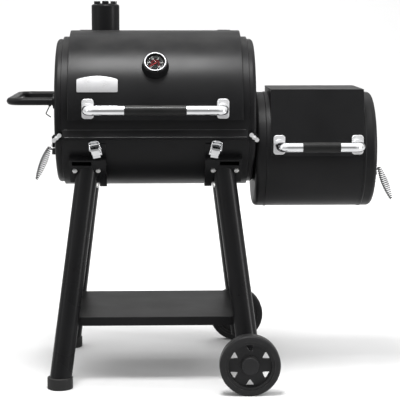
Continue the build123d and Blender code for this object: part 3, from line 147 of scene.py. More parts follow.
# %% Edge wear group
def make_edge_wear():
    """Mask that is 1 on worn edges."""
    tree, enter, leave = start_group(
        "edge_wear", {"Width": 0.0015, "Amount": 0.5, "Patch Scale": 30.0}, ["Mask"])
    place = add_node(tree, "ShaderNodeTexCoord")
    rounded = add_node(tree, "ShaderNodeBevel", samples=4)
    tree.links.new(enter.outputs["Width"], rounded.inputs["Radius"])
    true_normal = add_node(tree, "ShaderNodeNewGeometry")
    facing = add_node(tree, "ShaderNodeVectorMath", operation="DOT_PRODUCT")
    tree.links.new(rounded.outputs["Normal"], facing.inputs[0])
    tree.links.new(true_normal.outputs["Normal"], facing.inputs[1])
    edge = calculate(tree, "SUBTRACT", 1.0, facing.outputs["Value"])
    edge = calculate(tree, "MULTIPLY", edge, 7.0, clamp=True)
    patches = add_node(tree, "ShaderNodeTexNoise")
    tree.links.new(place.outputs["Object"], patches.inputs["Vector"])
    tree.links.new(enter.outputs["Patch Scale"], patches.inputs["Scale"])
    patches.inputs["Detail"].default_value = 5.0
    broken = remap(tree, patches.outputs[0], 0.42, 0.62)
    worn = calculate(tree, "MULTIPLY", edge, broken)
    worn = calculate(tree, "MULTIPLY", worn, enter.outputs["Amount"], clamp=True)
    tree.links.new(worn, leave.inputs["Mask"])
    return tree


EDGE_WEAR = make_edge_wear()
print("made", EDGE_WEAR.name)


# %% [markdown]
# Baked enamel dries with a fine, soft ripple called orange peel, and its shine drifts slowly
# from place to place. Two sizes of noise do both: the fine one becomes a bump, the slow one a
# tone that moves the roughness a little.

# %% Orange peel group
def make_orange_peel():
    """Fine paint ripple as a height, and a slow tone from 0 to 1."""
    tree, enter, leave = start_group(
        "orange_peel", {"Scale": 900.0, "Tone Scale": 9.0}, ["Height", "Tone", "Speck"])
    place = add_node(tree, "ShaderNodeTexCoord")
    ripple = add_node(tree, "ShaderNodeTexNoise")
    ripple.inputs["Detail"].default_value = 3.0
    slow = add_node(tree, "ShaderNodeTexNoise")
    slow.inputs["Detail"].default_value = 4.0
    speck = add_node(tree, "ShaderNodeTexVoronoi")
    for node, scale in ((ripple, "Scale"), (slow, "Tone Scale"), (speck, "Scale")):
        tree.links.new(place.outputs["Object"], node.inputs["Vector"])
        tree.links.new(enter.outputs[scale], node.inputs["Scale"])
    tree.links.new(ripple.outputs[0], leave.inputs["Height"])
    tone = remap(tree, slow.outputs[0], 0.3, 0.7)
    tree.links.new(tone, leave.inputs["Tone"])
    dots = remap(tree, speck.outputs["Distance"], 0.0, 0.22, 1.0, 0.0)
    tree.links.new(dots, leave.inputs["Speck"])
    return tree


ORANGE_PEEL = make_orange_peel()
print("made", ORANGE_PEEL.name)


# %% [markdown]
# Dust needs a surface that faces up. The upward part of the normal is raised to a power, so
# that only near-level faces hold dust, and noise gathers it in faint drifts.

# %% Settled dust group
def make_settled_dust():
    """Mask that is 1 where dust lies."""
    tree, enter, leave = start_group(
        "settled_dust", {"Amount": 0.3, "Drift Scale": 12.0}, ["Mask"])
    place = add_node(tree, "ShaderNodeTexCoord")
    surface = add_node(tree, "ShaderNodeNewGeometry")
    parts = add_node(tree, "ShaderNodeSeparateXYZ")
    tree.links.new(surface.outputs["Normal"], parts.inputs[0])
    level = calculate(tree, "POWER", calculate(tree, "MAXIMUM", parts.outputs["Z"], 0.0), 4.0)
    drift = add_node(tree, "ShaderNodeTexNoise")
    drift.inputs["Detail"].default_value = 6.0
    tree.links.new(place.outputs["Object"], drift.inputs["Vector"])
    tree.links.new(enter.outputs["Drift Scale"], drift.inputs["Scale"])
    mask = calculate(tree, "MULTIPLY", level, remap(tree, drift.outputs[0], 0.35, 0.75))
    mask = calculate(tree, "MULTIPLY", mask, enter.outputs["Amount"], clamp=True)
    tree.links.new(mask, leave.inputs["Mask"])
    return tree


SETTLED_DUST = make_settled_dust()
print("made", SETTLED_DUST.name)


# %% [markdown]
# The inside of a smoker turns brown-black with soot within a few fires. Barrel and firebox are
# both drums that lie along X, so the distance from the drum's axis tells inside from outside.
# Flat discs at the ends need a second test, which side of the end they are on.

# %% Soot group
def make_soot():
    """Mask that is 1 inside a drum lying along X."""
    tree, enter, leave = start_group(
        "soot_inside", {"Axis Height": 0.8, "Radius": 0.22, "Middle": 0.0, "Half Length": 0.3},
        ["Mask", "Flake"])
    place = add_node(tree, "ShaderNodeTexCoord")
    parts = add_node(tree, "ShaderNodeSeparateXYZ")
    tree.links.new(place.outputs["Object"], parts.inputs[0])
    rise = calculate(tree, "SUBTRACT", parts.outputs["Z"], enter.outputs["Axis Height"])
    rise_squared = calculate(tree, "POWER", calculate(tree, "ABSOLUTE", rise), 2.0)
    squares = calculate(tree, "ADD", rise_squared,
                        calculate(tree, "MULTIPLY", parts.outputs["Y"], parts.outputs["Y"]))
    distance = calculate(tree, "SQRT", squares)
    within = calculate(tree, "LESS_THAN", distance, enter.outputs["Radius"])
    along = calculate(tree, "SUBTRACT", parts.outputs["X"], enter.outputs["Middle"])
    between = calculate(tree, "LESS_THAN", calculate(tree, "ABSOLUTE", along),
                        enter.outputs["Half Length"])
    tree.links.new(calculate(tree, "MULTIPLY", within, between), leave.inputs["Mask"])
    flakes = add_node(tree, "ShaderNodeTexNoise")
    flakes.inputs["Scale"].default_value = 55.0
    flakes.inputs["Detail"].default_value = 8.0
    tree.links.new(place.outputs["Object"], flakes.inputs["Vector"])
    tree.links.new(flakes.outputs[0], leave.inputs["Flake"])
    return tree


SOOT = make_soot()
print("made", SOOT.name)


# %% [markdown]
# Brushed and rolled metal carries fine lines in one direction. Stretching noise along that
# direction draws them. The three stretch numbers choose it: a small number stretches far.

# %% Metal grain group
def make_metal_grain():
    """Fine lines drawn along one direction, as a height and as a tone."""
    tree, enter, leave = start_group(
        "metal_grain", {"Along X": 1.0, "Along Y": 1.0, "Along Z": 1.0, "Scale": 600.0},
        ["Height", "Tone", "Smudge"])
    place = add_node(tree, "ShaderNodeTexCoord")
    stretch = add_node(tree, "ShaderNodeCombineXYZ")
    for axis in "XYZ":
        tree.links.new(enter.outputs[f"Along {axis}"], stretch.inputs[axis])
    drawn = add_node(tree, "ShaderNodeVectorMath", operation="MULTIPLY")
    tree.links.new(place.outputs["Object"], drawn.inputs[0])
    tree.links.new(stretch.outputs[0], drawn.inputs[1])
    lines = add_node(tree, "ShaderNodeTexNoise")
    lines.inputs["Detail"].default_value = 4.0
    tree.links.new(drawn.outputs[0], lines.inputs["Vector"])
    tree.links.new(enter.outputs["Scale"], lines.inputs["Scale"])
    smudge = add_node(tree, "ShaderNodeTexNoise")
    smudge.inputs["Scale"].default_value = 45.0
    smudge.inputs["Detail"].default_value = 5.0
    tree.links.new(place.outputs["Object"], smudge.inputs["Vector"])
    tree.links.new(lines.outputs[0], leave.inputs["Height"])
    tree.links.new(remap(tree, lines.outputs[0], 0.3, 0.7), leave.inputs["Tone"])
    tree.links.new(remap(tree, smudge.outputs[0], 0.35, 0.7), leave.inputs["Smudge"])
    return tree


METAL_GRAIN = make_metal_grain()
print("made", METAL_GRAIN.name)


# %% Helpers for materials
def start_material(name):
    """A material with an empty Principled shader."""
    material = bpy.data.materials.new(name)
    material.use_nodes = True
    return material, material.node_tree, material.node_tree.nodes["Principled BSDF"]


def use_group(tree, group, **numbers):
    """Place a node group and set its inputs; underscores stand for spaces."""
    node = add_node(tree, "ShaderNodeGroup", node_tree=group)
    for label, value in numbers.items():
        node.inputs[label.replace("_", " ")].default_value = value
    return node


def mix_colours(tree, mask, first, second):
    """Blend two colours, or a node's output and a colour, by a mask."""
    node = add_node(tree, "ShaderNodeMix", data_type="RGBA")
    for place, value in ((6, first), (7, second)):
        if isinstance(value, tuple):
            node.inputs[place].default_value = (*value, 1.0)
        else:
            tree.links.new(value, node.inputs[place])
    tree.links.new(mask, node.inputs[0])
    return node.outputs[2]


def raise_surface(tree, shader, height, distance, strength=1.0):
    """Turn a height into a bumped normal."""
    bump = add_node(tree, "ShaderNodeBump")
    bump.inputs["Strength"].default_value = strength
    bump.inputs["Distance"].default_value = distance
    tree.links.new(height, bump.inputs["Height"])
    tree.links.new(bump.outputs["Normal"], shader.inputs["Normal"])


# %% [markdown]
# ## Black heat-proof enamel
# Nearly all the sheet steel is covered in satin black enamel baked on at the factory. It is
# one recipe with different numbers: the drums are satin, the tube legs a little glossier, the
# shelf rougher and more worn. A drum also takes soot inside, so the recipe can be given a drum's
# axis.

# %% Satin enamel
BLACK = (0.006, 0.006, 0.0064)
RUBBED = (0.05, 0.05, 0.052)
DUST = (0.17, 0.165, 0.155)
SOOT_BROWN = (0.012, 0.009, 0.007)


def satin_enamel(name, shine=0.36, wear=0.4, dust=0.12, ripple=0.5, drum=None, gleam=0.135):
    """Black enamel; drum is (axis height, inner radius, middle, half length) or None."""
    material, tree, shader = start_material(name)
    peel = use_group(tree, ORANGE_PEEL, Scale=850.0, Tone_Scale=7.0)
    worn = use_group(tree, EDGE_WEAR, Width=0.0016, Amount=wear, Patch_Scale=38.0)
    lying = use_group(tree, SETTLED_DUST, Amount=dust, Drift_Scale=14.0)
    colour = mix_colours(tree, peel.outputs["Tone"], BLACK, tuple(1.35 * part for part in BLACK))
    colour = mix_colours(tree, worn.outputs["Mask"], colour, RUBBED)
    colour = mix_colours(tree, lying.outputs["Mask"], colour, DUST)
    rough = remap(tree, peel.outputs["Tone"], 0.0, 1.0, shine - 0.035, shine + 0.035)
    rough = calculate(tree, "ADD", rough, calculate(tree, "MULTIPLY", lying.outputs["Mask"], 0.35))
    height = peel.outputs["Height"]
    if drum:
        soot = use_group(tree, SOOT, Axis_Height=drum[0], Radius=drum[1], Middle=drum[2],
                         Half_Length=drum[3])
        colour = mix_colours(tree, soot.outputs["Mask"], colour, SOOT_BROWN)
        rough = calculate(tree, "ADD", rough,
                          calculate(tree, "MULTIPLY", soot.outputs["Mask"], 0.42), clamp=True)
        crust = calculate(tree, "MULTIPLY", soot.outputs["Mask"], soot.outputs["Flake"])
        height = calculate(tree, "ADD", height, calculate(tree, "MULTIPLY", crust, 5.0))
    tree.links.new(colour, shader.inputs["Base Color"])
    tree.links.new(rough, shader.inputs["Roughness"])
    shader.inputs["Specular IOR Level"].default_value = gleam
    raise_surface(tree, shader, height, 0.00012 * ripple, 0.5)
    return material


INSIDE_STEP = 1.0 * MM
barrel_drum = (BARREL_Z, BARREL_RADIUS - INSIDE_STEP, BARREL.x,
               (BARREL_HIGH.x - BARREL_LOW.x) / 2 - INSIDE_STEP)
lid_drum = (BARREL_Z, BARREL_RADIUS + 17.8 * MM, BARREL.x,
            (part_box("lid_shell")[1].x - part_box("lid_shell")[0].x) / 2 - INSIDE_STEP)
fire_drum = (FIREBOX_Z, FIREBOX_RADIUS - INSIDE_STEP, FIREBOX.x,
             (FIREBOX_HIGH.x - FIREBOX_LOW.x) / 2 - INSIDE_STEP)
ENAMEL = {
    "lid": satin_enamel("enamel_lid", 0.33, drum=lid_drum),
    "barrel": satin_enamel("enamel_barrel", 0.35, drum=barrel_drum),
    "firebox": satin_enamel("enamel_firebox", 0.37, wear=0.5, drum=fire_drum, gleam=0.16),
    "firebox_lid": satin_enamel("enamel_firebox_lid", 0.37, dust=0.05, gleam=0.175),
    "stand": satin_enamel("enamel_stand", 0.3, dust=0.06),
    "shelf": satin_enamel("enamel_shelf", 0.4, wear=0.6, dust=0.1),
    "chimney": satin_enamel("enamel_chimney", 0.38, wear=0.35),
    "hem": satin_enamel("enamel_hem", 0.3, wear=0.2, dust=0.0, gleam=0.6),
    "fittings": satin_enamel("enamel_fittings", 0.4, wear=0.7, dust=0.05, gleam=0.095),
}
print("enamels:", sorted(ENAMEL))

# %% [markdown]
# ## Bright and dull metals
# Handle tubes and latches are chrome plated: a mirror with faint finger marks, so the roughness
# moves a little. Handle plates and thumb screws are a satin plate. The gauge's ring, the tool
# hook and the coils are darker metals, because that is how the photograph shows them. Bolts and
# pins are zinc plated and rougher. The badge is brushed along its length.

# %% Plated metals
CHROME = (0.96, 0.965, 0.975)
CHROME_SHADE = (0.86, 0.87, 0.89)


def plated_metal(name, bright, dull, shine, spread, grain=(1.0, 1.0, 1.0), lines=0.00002,
                 fine=500.0):
    """A metal whose shine and tone drift with finger marks and drawn lines."""
    material, tree, shader = start_material(name)
    marks = use_group(tree, METAL_GRAIN, Along_X=grain[0], Along_Y=grain[1], Along_Z=grain[2],
                      Scale=fine)
    worn = use_group(tree, EDGE_WEAR, Width=0.0008, Amount=0.35, Patch_Scale=60.0)
    colour = mix_colours(tree, marks.outputs["Smudge"], bright, dull)
    colour = mix_colours(tree, worn.outputs["Mask"], colour, bright)
    tree.links.new(colour, shader.inputs["Base Color"])
    tone = calculate(tree, "ADD", calculate(tree, "MULTIPLY", marks.outputs["Smudge"], 0.6),
                     calculate(tree, "MULTIPLY", marks.outputs["Tone"], 0.4))
    tree.links.new(remap(tree, tone, 0.0, 1.0, shine, shine + spread), shader.inputs["Roughness"])
    shader.inputs["Metallic"].default_value = 1.0
    raise_surface(tree, shader, marks.outputs["Height"], lines, 0.4)
    return material


METALS = {
    "chrome": plated_metal("chrome_plate", CHROME, CHROME_SHADE, 0.05, 0.07, lines=0.000004),
    "satin": plated_metal("satin_chrome", (0.97, 0.97, 0.975), (0.9, 0.9, 0.91), 0.4, 0.08),
    "ring": plated_metal("brushed_ring", (0.1, 0.1, 0.103), (0.06, 0.06, 0.062), 0.2, 0.12),
    "wire": plated_metal("dulled_wire", (0.16, 0.16, 0.163), (0.08, 0.08, 0.08), 0.2, 0.12),
    "zinc": plated_metal("zinc_plate", (0.92, 0.92, 0.9), (0.7, 0.7, 0.71), 0.36, 0.14),
    "badge": plated_metal("brushed_badge", (0.5, 0.5, 0.505), (0.44, 0.44, 0.45), 0.24, 0.14,
                          (0.04, 1.0, 1.0), 0.00002, 900.0),
    "steel": plated_metal("axle_steel", (0.5, 0.49, 0.48), (0.27, 0.25, 0.24), 0.3, 0.25,
                          (0.2, 1.0, 1.0)),
}
print("metals:", sorted(METALS))


# %% [markdown]
# ## Cast iron and fired steel
# The grates are cast iron, seasoned with oil: a coarse, sandy skin that is almost black, with
# browner patches where oil has burnt on. The charcoal pan is bare steel that fires have
# scaled blue-grey and rusted a little.

# %% Rough metals
def rough_iron(name, dark, light, sand, shine):
    """Sand-cast or fire-scaled iron with two tones and a coarse skin."""
    material, tree, shader = start_material(name)
    skin = use_group(tree, ORANGE_PEEL, Scale=sand, Tone_Scale=24.0)
    worn = use_group(tree, EDGE_WEAR, Width=0.001, Amount=0.6, Patch_Scale=70.0)
    colour = mix_colours(tree, skin.outputs["Tone"], dark, light)
    colour = mix_colours(tree, skin.outputs["Speck"], colour, tuple(0.6 * part for part in dark))
    colour = mix_colours(tree, worn.outputs["Mask"], colour, tuple(1.8 * part for part in light))
    tree.links.new(colour, shader.inputs["Base Color"])
    tree.links.new(remap(tree, skin.outputs["Tone"], 0.0, 1.0, shine, shine + 0.18),
                   shader.inputs["Roughness"])
    shader.inputs["Metallic"].default_value = 0.55
    raise_surface(tree, shader, skin.outputs["Height"], 0.0005, 0.7)
    return material


CAST_IRON = rough_iron("seasoned_cast_iron", (0.018, 0.016, 0.015), (0.045, 0.036, 0.03),
                       320.0, 0.42)
FIRED_STEEL = rough_iron("fired_steel", (0.09, 0.088, 0.09), (0.17, 0.12, 0.085), 180.0, 0.5)
print("made", CAST_IRON.name, FIRED_STEEL.name)


# %% [markdown]
# ## Moulded plastics
# Grips, wheels and feet are black plastic with the fine stipple of a spark-eroded mould. The
# wheels have rolled over ground, so their tread is scuffed paler than the grips.

# %% Plastics
def moulded_plastic(name, colour, scuffed, shine, wear, stipple=1400.0):
    """Black moulded plastic with stipple and scuffs."""
    material, tree, shader = start_material(name)
    skin = use_group(tree, ORANGE_PEEL, Scale=stipple, Tone_Scale=18.0)
    worn = use_group(tree, EDGE_WEAR, Width=0.003, Amount=wear, Patch_Scale=55.0)
    lying = use_group(tree, SETTLED_DUST, Amount=0.15, Drift_Scale=20.0)
    base = mix_colours(tree, skin.outputs["Tone"], colour, tuple(1.5 * part for part in colour))
    base = mix_colours(tree, worn.outputs["Mask"], base, scuffed)
    base = mix_colours(tree, lying.outputs["Mask"], base, DUST)
    tree.links.new(base, shader.inputs["Base Color"])
    tree.links.new(remap(tree, skin.outputs["Tone"], 0.0, 1.0, shine - 0.05, shine + 0.07),
                   shader.inputs["Roughness"])
    shader.inputs["Specular IOR Level"].default_value = 0.2
    raise_surface(tree, shader, skin.outputs["Height"], 0.00015, 0.6)
    return material


PLASTICS = {
    "grip": moulded_plastic("grip_plastic", (0.007, 0.007, 0.007), (0.03, 0.03, 0.03), 0.33, 0.3),
    "wheel": moulded_plastic("wheel_plastic", (0.012, 0.012, 0.0125), (0.07, 0.068, 0.065),
                             0.42, 0.55),
    "foot": moulded_plastic("foot_plastic", (0.013, 0.013, 0.013), (0.06, 0.058, 0.055), 0.48, 0.5),
}
print("plastics:", sorted(PLASTICS))


# %% [markdown]
# ## Paints and glass of the heat gauge
# The gauge has a black face printed in white and dark red, under a thin flat glass. The inks
# are slightly uneven, as screen printing is, and the glass keeps a plain clear shader with a
# faint film of grease in its roughness.

# %% Gauge finishes
def printed_ink(name, colour, shine=0.45, unevenness=0.25):
    """Screen-printed ink: a colour that varies a little in strength."""
    material, tree, shader = start_material(name)
    skin = use_group(tree, ORANGE_PEEL, Scale=2500.0, Tone_Scale=260.0)
    weaker = tuple((1.0 - unevenness) * part for part in colour)
    tree.links.new(mix_colours(tree, skin.outputs["Tone"], colour, weaker),
                   shader.inputs["Base Color"])
    tree.links.new(remap(tree, skin.outputs["Tone"], 0.0, 1.0, shine - 0.06, shine + 0.08),
                   shader.inputs["Roughness"])
    shader.inputs["Specular IOR Level"].default_value = 0.012
    raise_surface(tree, shader, skin.outputs["Height"], 0.00002, 0.4)
    return material


def clear_glass(name):
    """Thin cover glass with a greasy film: nearly all of it lets the dial through."""
    material, tree, shader = start_material(name)
    film = use_group(tree, ORANGE_PEEL, Scale=140.0, Tone_Scale=70.0)
    tree.links.new(remap(tree, film.outputs["Tone"], 0.0, 1.0, 0.03, 0.09),
                   shader.inputs["Roughness"])
    tint = mix_colours(tree, film.outputs["Tone"], (0.02, 0.02, 0.02), (0.04, 0.045, 0.045))
    tree.links.new(tint, shader.inputs["Base Color"])
    tree.links.new(remap(tree, film.outputs["Tone"], 0.0, 1.0, 0.06, 0.1), shader.inputs["Alpha"])
    shader.inputs["Specular IOR Level"].default_value = 0.06
    return material


INK_BLACK = printed_ink("dial_black", (0.008, 0.008, 0.008))
INK_WHITE = printed_ink("dial_white", (0.85, 0.85, 0.83), unevenness=0.1)
INK_RED = printed_ink("dial_red", (0.1, 0.004, 0.006))
POINTER_RED = printed_ink("pointer_paint", (0.34, 0.03, 0.03), 0.35)
GLASS = clear_glass("gauge_cover_glass")
print("gauge finishes made")

# %% [markdown]
# ## Dressing the parts
# Each solid keeps its own shape and simply gets its finish. A table of finish to part names is
# easier to read, and to change, than sixty separate lines.

# %% Give every solid its finish
FINISHES = [
    (ENAMEL["lid"], ["lid_shell", "lid_hinge_leaves", "gauge_housing"]),
    (ENAMEL["barrel"], ["barrel_shell", "barrel_cap_left", "barrel_cap_right", "grate_rails"]),
    (ENAMEL["firebox"], ["firebox_shell", "firebox_cap_left", "firebox_cap_right"]),
    (ENAMEL["firebox_lid"], ["firebox_lid", "firebox_hinge_leaves"]),
    (ENAMEL["stand"], ["leg_front_left", "leg_front_right", "leg_rear_left", "leg_rear_right",
                       "leg_bracket_front_left", "leg_bracket_front_right",
                       "leg_bracket_rear_left", "leg_bracket_rear_right", "side_handle_loop"]),
    (ENAMEL["shelf"], ["bottom_shelf"]),
    (ENAMEL["chimney"], ["chimney_pipe", "chimney_damper"]),
    (ENAMEL["fittings"], ["front_rail", "hinge_brackets", "left_damper_disc",
                          "firebox_damper_disc"]),
    (METALS["chrome"], ["lid_handle_tube", "firebox_handle_tube", "latch_bases", "latch_keepers",
                        "latch_lever_left", "latch_lever_right", "latch_bail_left",
                        "latch_bail_right"]),
    (METALS["satin"], ["lid_handle_plates", "firebox_handle_plates", "rail_thumb_screws"]),
    (METALS["ring"], ["gauge_bezel"]),
    (METALS["wire"], ["tool_hook"]),
    (METALS["zinc"], ["hex_bolts", "hinge_pins", "damper_pivots"]),
    (METALS["steel"], ["wheel_axle"]),
    (METALS["badge"], ["badge_plate"]),
    (CAST_IRON, ["cooking_grate_left", "cooking_grate_right", "firebox_grate"]),
    (FIRED_STEEL, ["charcoal_pan"]),
    (PLASTICS["grip"], ["lid_handle_grip", "firebox_handle_grip"]),
    (PLASTICS["wheel"], ["wheel_front", "wheel_rear"]),
    (PLASTICS["foot"], ["leg_feet"]),
    (INK_BLACK, ["gauge_dial"]),
    (POINTER_RED, ["gauge_needle"]),
    (GLASS, ["gauge_glass"]),
]
dressed = 0
for finish, names in FINISHES:
    for name in names:
        NODES[name].data.materials.clear()
        NODES[name].data.materials.append(finish)
        dressed += 1
print("solids dressed:", dressed)


# %% [markdown]
# ## Wire coil handles
# The air dampers are turned by a handle of coiled wire, wound fat in the middle, because an
# open coil stays cool. The solid part is only a spindle of the same outline. Its axis is found
# from its own points, and one wire is wound along it: a curve given thickness, which is then
# turned into a mesh. The first turn starts at the damper's lug.

# %% Wind the coils
WIRE = 3.3 * MM
TURNS = 17
POINTS_PER_TURN = 20
COIL_TOP = 4.2 * MM
COIL_MIDDLE = 12.0 * MM
COIL_END = 4.6 * MM
COIL_START = 2 * MM
COIL_SHARE = 0.97
LUG_DROP = 14 * MM


def spindle_axis(node):
    """Upper end, lower end and direction of a spindle-shaped solid."""
    points = np.array([vertex.co for vertex in NODES[node].data.vertices])
    centre = (points.min(0) + points.max(0)) / 2
    spread = points - points.mean(0)
    direction = np.linalg.svd(spread, full_matrices=False)[2][0]
    if direction[2] > 0:
        direction = -direction
    direction[1] = 0.0
    direction = Vector(direction).normalized()
    reach = (points - centre) @ np.array(direction)
    upper = Vector(centre) + direction * reach.min()
    lower = Vector(centre) + direction * reach.max()
    return upper, lower, direction


def coil_radius(share):
    """Radius of the winding along the coil, 0 at the top and 1 at the tip."""
    ends = COIL_TOP + (COIL_END - COIL_TOP) * share
    return ends + (COIL_MIDDLE - ends) * math.sin(math.pi * share ** 0.9) ** 0.8 - WIRE / 2


def wire_mesh(name, points, thickness, material, closed=False):
    """A round wire along points, as a mesh object."""
    data = bpy.data.curves.new(name, "CURVE")
    data.dimensions = "3D"
    data.bevel_depth = thickness / 2
    data.bevel_resolution = 3
    data.use_fill_caps = not closed
    spline = data.splines.new("POLY")
    spline.points.add(len(points) - 1)
    for slot, point in zip(spline.points, points):
        slot.co = (*point, 1.0)
    spline.use_cyclic_u = closed
    shape = bpy.data.objects.new(name + "_curve", data)
    bpy.context.scene.collection.objects.link(shape)
    bpy.context.view_layer.update()
    graph = bpy.context.evaluated_depsgraph_get()
    mesh = bpy.data.meshes.new_from_object(shape.evaluated_get(graph))
    bpy.data.objects.remove(shape)
    mesh.materials.clear()
    mesh.materials.append(material)
    for face in mesh.polygons:
        face.use_smooth = True
    piece = bpy.data.objects.new(name, mesh)
    bpy.context.scene.collection.objects.link(piece)
    return piece


def wind_coil(side, body, pivot_joint):
    """One wire handle in place of its solid spindle."""
    node = f"{side}_damper_coil"
    top, tip, along = spindle_axis(node)
    pivot = Vector(JOINTS[pivot_joint]["pos_m"])
    outwards = Vector((1.0 if side == "firebox" else -1.0, 0.0, 0.0))
    across = along.cross(outwards).normalized()
    inwards = across.cross(along).normalized()
    lug = Vector((pivot.x, pivot.y, pivot.z - LUG_DROP)) + outwards * 15 * MM
    points = [lug - outwards * 1 * MM, lug + outwards * 2.2 * MM]
    count = TURNS * POINTS_PER_TURN
    for step in range(count + 1):
        share = step / count
        angle = 2 * math.pi * TURNS * share
        radius = coil_radius(share)
        centre = top + along * (COIL_START + (tip - top).length * COIL_SHARE * share)
        points.append(centre + inwards * (-radius * math.cos(angle))
                      + across * (radius * math.sin(angle)))
    piece = wire_mesh(f"{side}_damper_wire_coil", points, WIRE, METALS["wire"])
    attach(piece, body)
    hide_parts(node)
    print(piece.name, "turns", TURNS, "length of spindle", round((tip - top).length, 4))
    return piece


wind_coil("left", "left_air_damper", "left_air_damper_turn")
wind_coil("firebox", "firebox_air_damper", "firebox_air_damper_turn")

# %% [markdown]
# ## The printed dial
# The dial's middle and facing come from the pointer's joint. On the face lie the prints: a
# white tick every twenty degrees of heat, a bolder one every hundred, round numbers, and a
# dark red band inside them. Each print is a sheet of ink a tenth of a millimetre high, so it
# stays sharp from any side and needs no picture.

# %% Lay out the dial
DIAL_JOINT = JOINTS["gauge_pointer_turn"]
DIAL_OUT = -Vector(DIAL_JOINT["axis"]).normalized()
DIAL_RIGHT = Vector((1.0, 0.0, 0.0))
DIAL_UP = DIAL_OUT.cross(DIAL_RIGHT).normalized()
face_points = [vertex.co for vertex in NODES["gauge_dial"].data.vertices]
DIAL_LEVEL = max(point.dot(DIAL_OUT) for point in face_points)
needle_level = min(vertex.co.dot(DIAL_OUT) for vertex in NODES["gauge_needle"].data.vertices)
DIAL_MIDDLE = Vector(DIAL_JOINT["pos_m"])
DIAL_MIDDLE += DIAL_OUT * (DIAL_LEVEL - DIAL_MIDDLE.dot(DIAL_OUT))
INK_LIFT = 0.1 * MM
print("ink to pointer gap, mm:", round((needle_level - DIAL_LEVEL) * 1000, 2))


def on_dial(angle, radius, lift=INK_LIFT):
    """Point on the dial; angle in degrees clockwise from straight up."""
    turn = math.radians(angle)
    flat = DIAL_RIGHT * (radius * math.sin(turn)) + DIAL_UP * (radius * math.cos(turn))
    return DIAL_MIDDLE + flat + DIAL_OUT * lift


def ink_mesh(name, outlines, material):
    """One mesh of flat inked patches, each given as a loop of dial points with thickness."""
    vertices, faces = [], []
    for loop in outlines:
        start = len(vertices)
        count = len(loop)
        vertices += [point - DIAL_OUT * INK_LIFT for point in loop] + list(loop)
        faces.append([start + count + place for place in range(count)])
        faces.append([start + place for place in reversed(range(count))])
        for place in range(count):
            after = (place + 1) % count
            faces.append([start + place, start + after,
                          start + count + after, start + count + place])
    mesh = bpy.data.meshes.new(name)
    mesh.from_pydata(vertices, [], faces)
    mesh.validate()
    mesh.materials.append(material)
    piece = bpy.data.objects.new(name, mesh)
    bpy.context.scene.collection.objects.link(piece)
    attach(piece, "main_lid")
    return piece


# %% Print ticks, band and numbers
SCALE_START, SCALE_SWEEP = -135.0, 270.0
TICKS = 25
TICK_OUTER = 24.0 * MM


def patch(angle, half_width, inner, outer):
    """Four corners of a tick that points at the middle."""
    side = math.degrees(half_width / outer)
    return [on_dial(angle - side, inner), on_dial(angle - side, outer),
            on_dial(angle + side, outer), on_dial(angle + side, inner)]


ticks = []
for number in range(TICKS + 1):
    angle = SCALE_START + SCALE_SWEEP * number / TICKS
    bold = number % 5 == 0
    half_width = (0.8 if bold else 0.35) * MM
    inner = (19.5 if bold else 21.5) * MM
    ticks.append(patch(angle, half_width, inner, TICK_OUTER))
ink_mesh("dial_ticks", ticks, INK_WHITE)
BAND_INNER, BAND_OUTER, BAND_STEPS = 8.2 * MM, 13.6 * MM, 30
strips = []
for step in range(BAND_STEPS):
    first, second = (SCALE_START + SCALE_SWEEP * (step + part) / BAND_STEPS for part in (0, 1))
    strips.append([on_dial(first, BAND_INNER), on_dial(first, BAND_OUTER),
                   on_dial(second, BAND_OUTER), on_dial(second, BAND_INNER)])
ink_mesh("dial_red_band", strips, INK_RED)
print("ticks:", len(ticks), "band strips:", len(strips))

NUMERALS = ["100", "200", "300", "400", "500", "600"]
NUMERAL_SIZE = 4.6 * MM
NUMERAL_RING = 16.6 * MM
for place, label in enumerate(NUMERALS):
    words = bpy.data.curves.new(f"dial_number_{label}", "FONT")
    words.body = label
    words.size = NUMERAL_SIZE
    words.extrude = INK_LIFT / 2
    words.align_x, words.align_y = "CENTER", "CENTER"
    words.materials.append(INK_WHITE)
    piece = bpy.data.objects.new(f"dial_number_{label}", words)
    bpy.context.scene.collection.objects.link(piece)
    spot = on_dial(SCALE_START + SCALE_SWEEP * place / (len(NUMERALS) - 1), NUMERAL_RING)
    turn = Matrix((DIAL_RIGHT, DIAL_UP, DIAL_OUT)).transposed().to_4x4()
    piece.matrix_world = Matrix.Translation(spot) @ turn
    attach(piece, "main_lid")


# %% [markdown]
# ## Weld beads
# The push handle's flanges and the chimney are welded on. A hand weld is a row of overlapping
# ripples, so the bead is a thin tube along the joint whose thickness swells and shrinks.
# Around the chimney the joint rises and falls as it follows the barrel's curve.

# %% Run the weld beads
def weld_bead(name, points, thickness, body, ripples):
    """A closed, rippled bead along points."""
    count = len(points)
    sides = 8
    vertices, faces = [], []
    for place, point in enumerate(points):
        ahead = (points[(place + 1) % count] - points[place - 1]).normalized()
        side = ahead.cross(Vector((0.13, 0.21, 0.97))).normalized()
        up = side.cross(ahead)
        swell = thickness / 2 * (1.0 + 0.16 * math.sin(2 * math.pi * ripples * place / count))
        for spoke in range(sides):
            turn = 2 * math.pi * spoke / sides
            vertices.append(point + (side * math.cos(turn) + up * math.sin(turn)) * swell)
    for place in range(count):
        after = (place + 1) % count
        for spoke in range(sides):
            beside = (spoke + 1) % sides
            faces.append([place * sides + spoke, place * sides + beside,
                          after * sides + beside, after * sides + spoke])
    mesh = bpy.data.meshes.new(name)
    mesh.from_pydata(vertices, [], faces)
    mesh.validate()
    for face in mesh.polygons:
        face.use_smooth = True
    mesh.materials.append(ENAMEL["fittings"])
    piece = bpy.data.objects.new(name, mesh)
    bpy.context.scene.collection.objects.link(piece)
    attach(piece, body)
    return piece


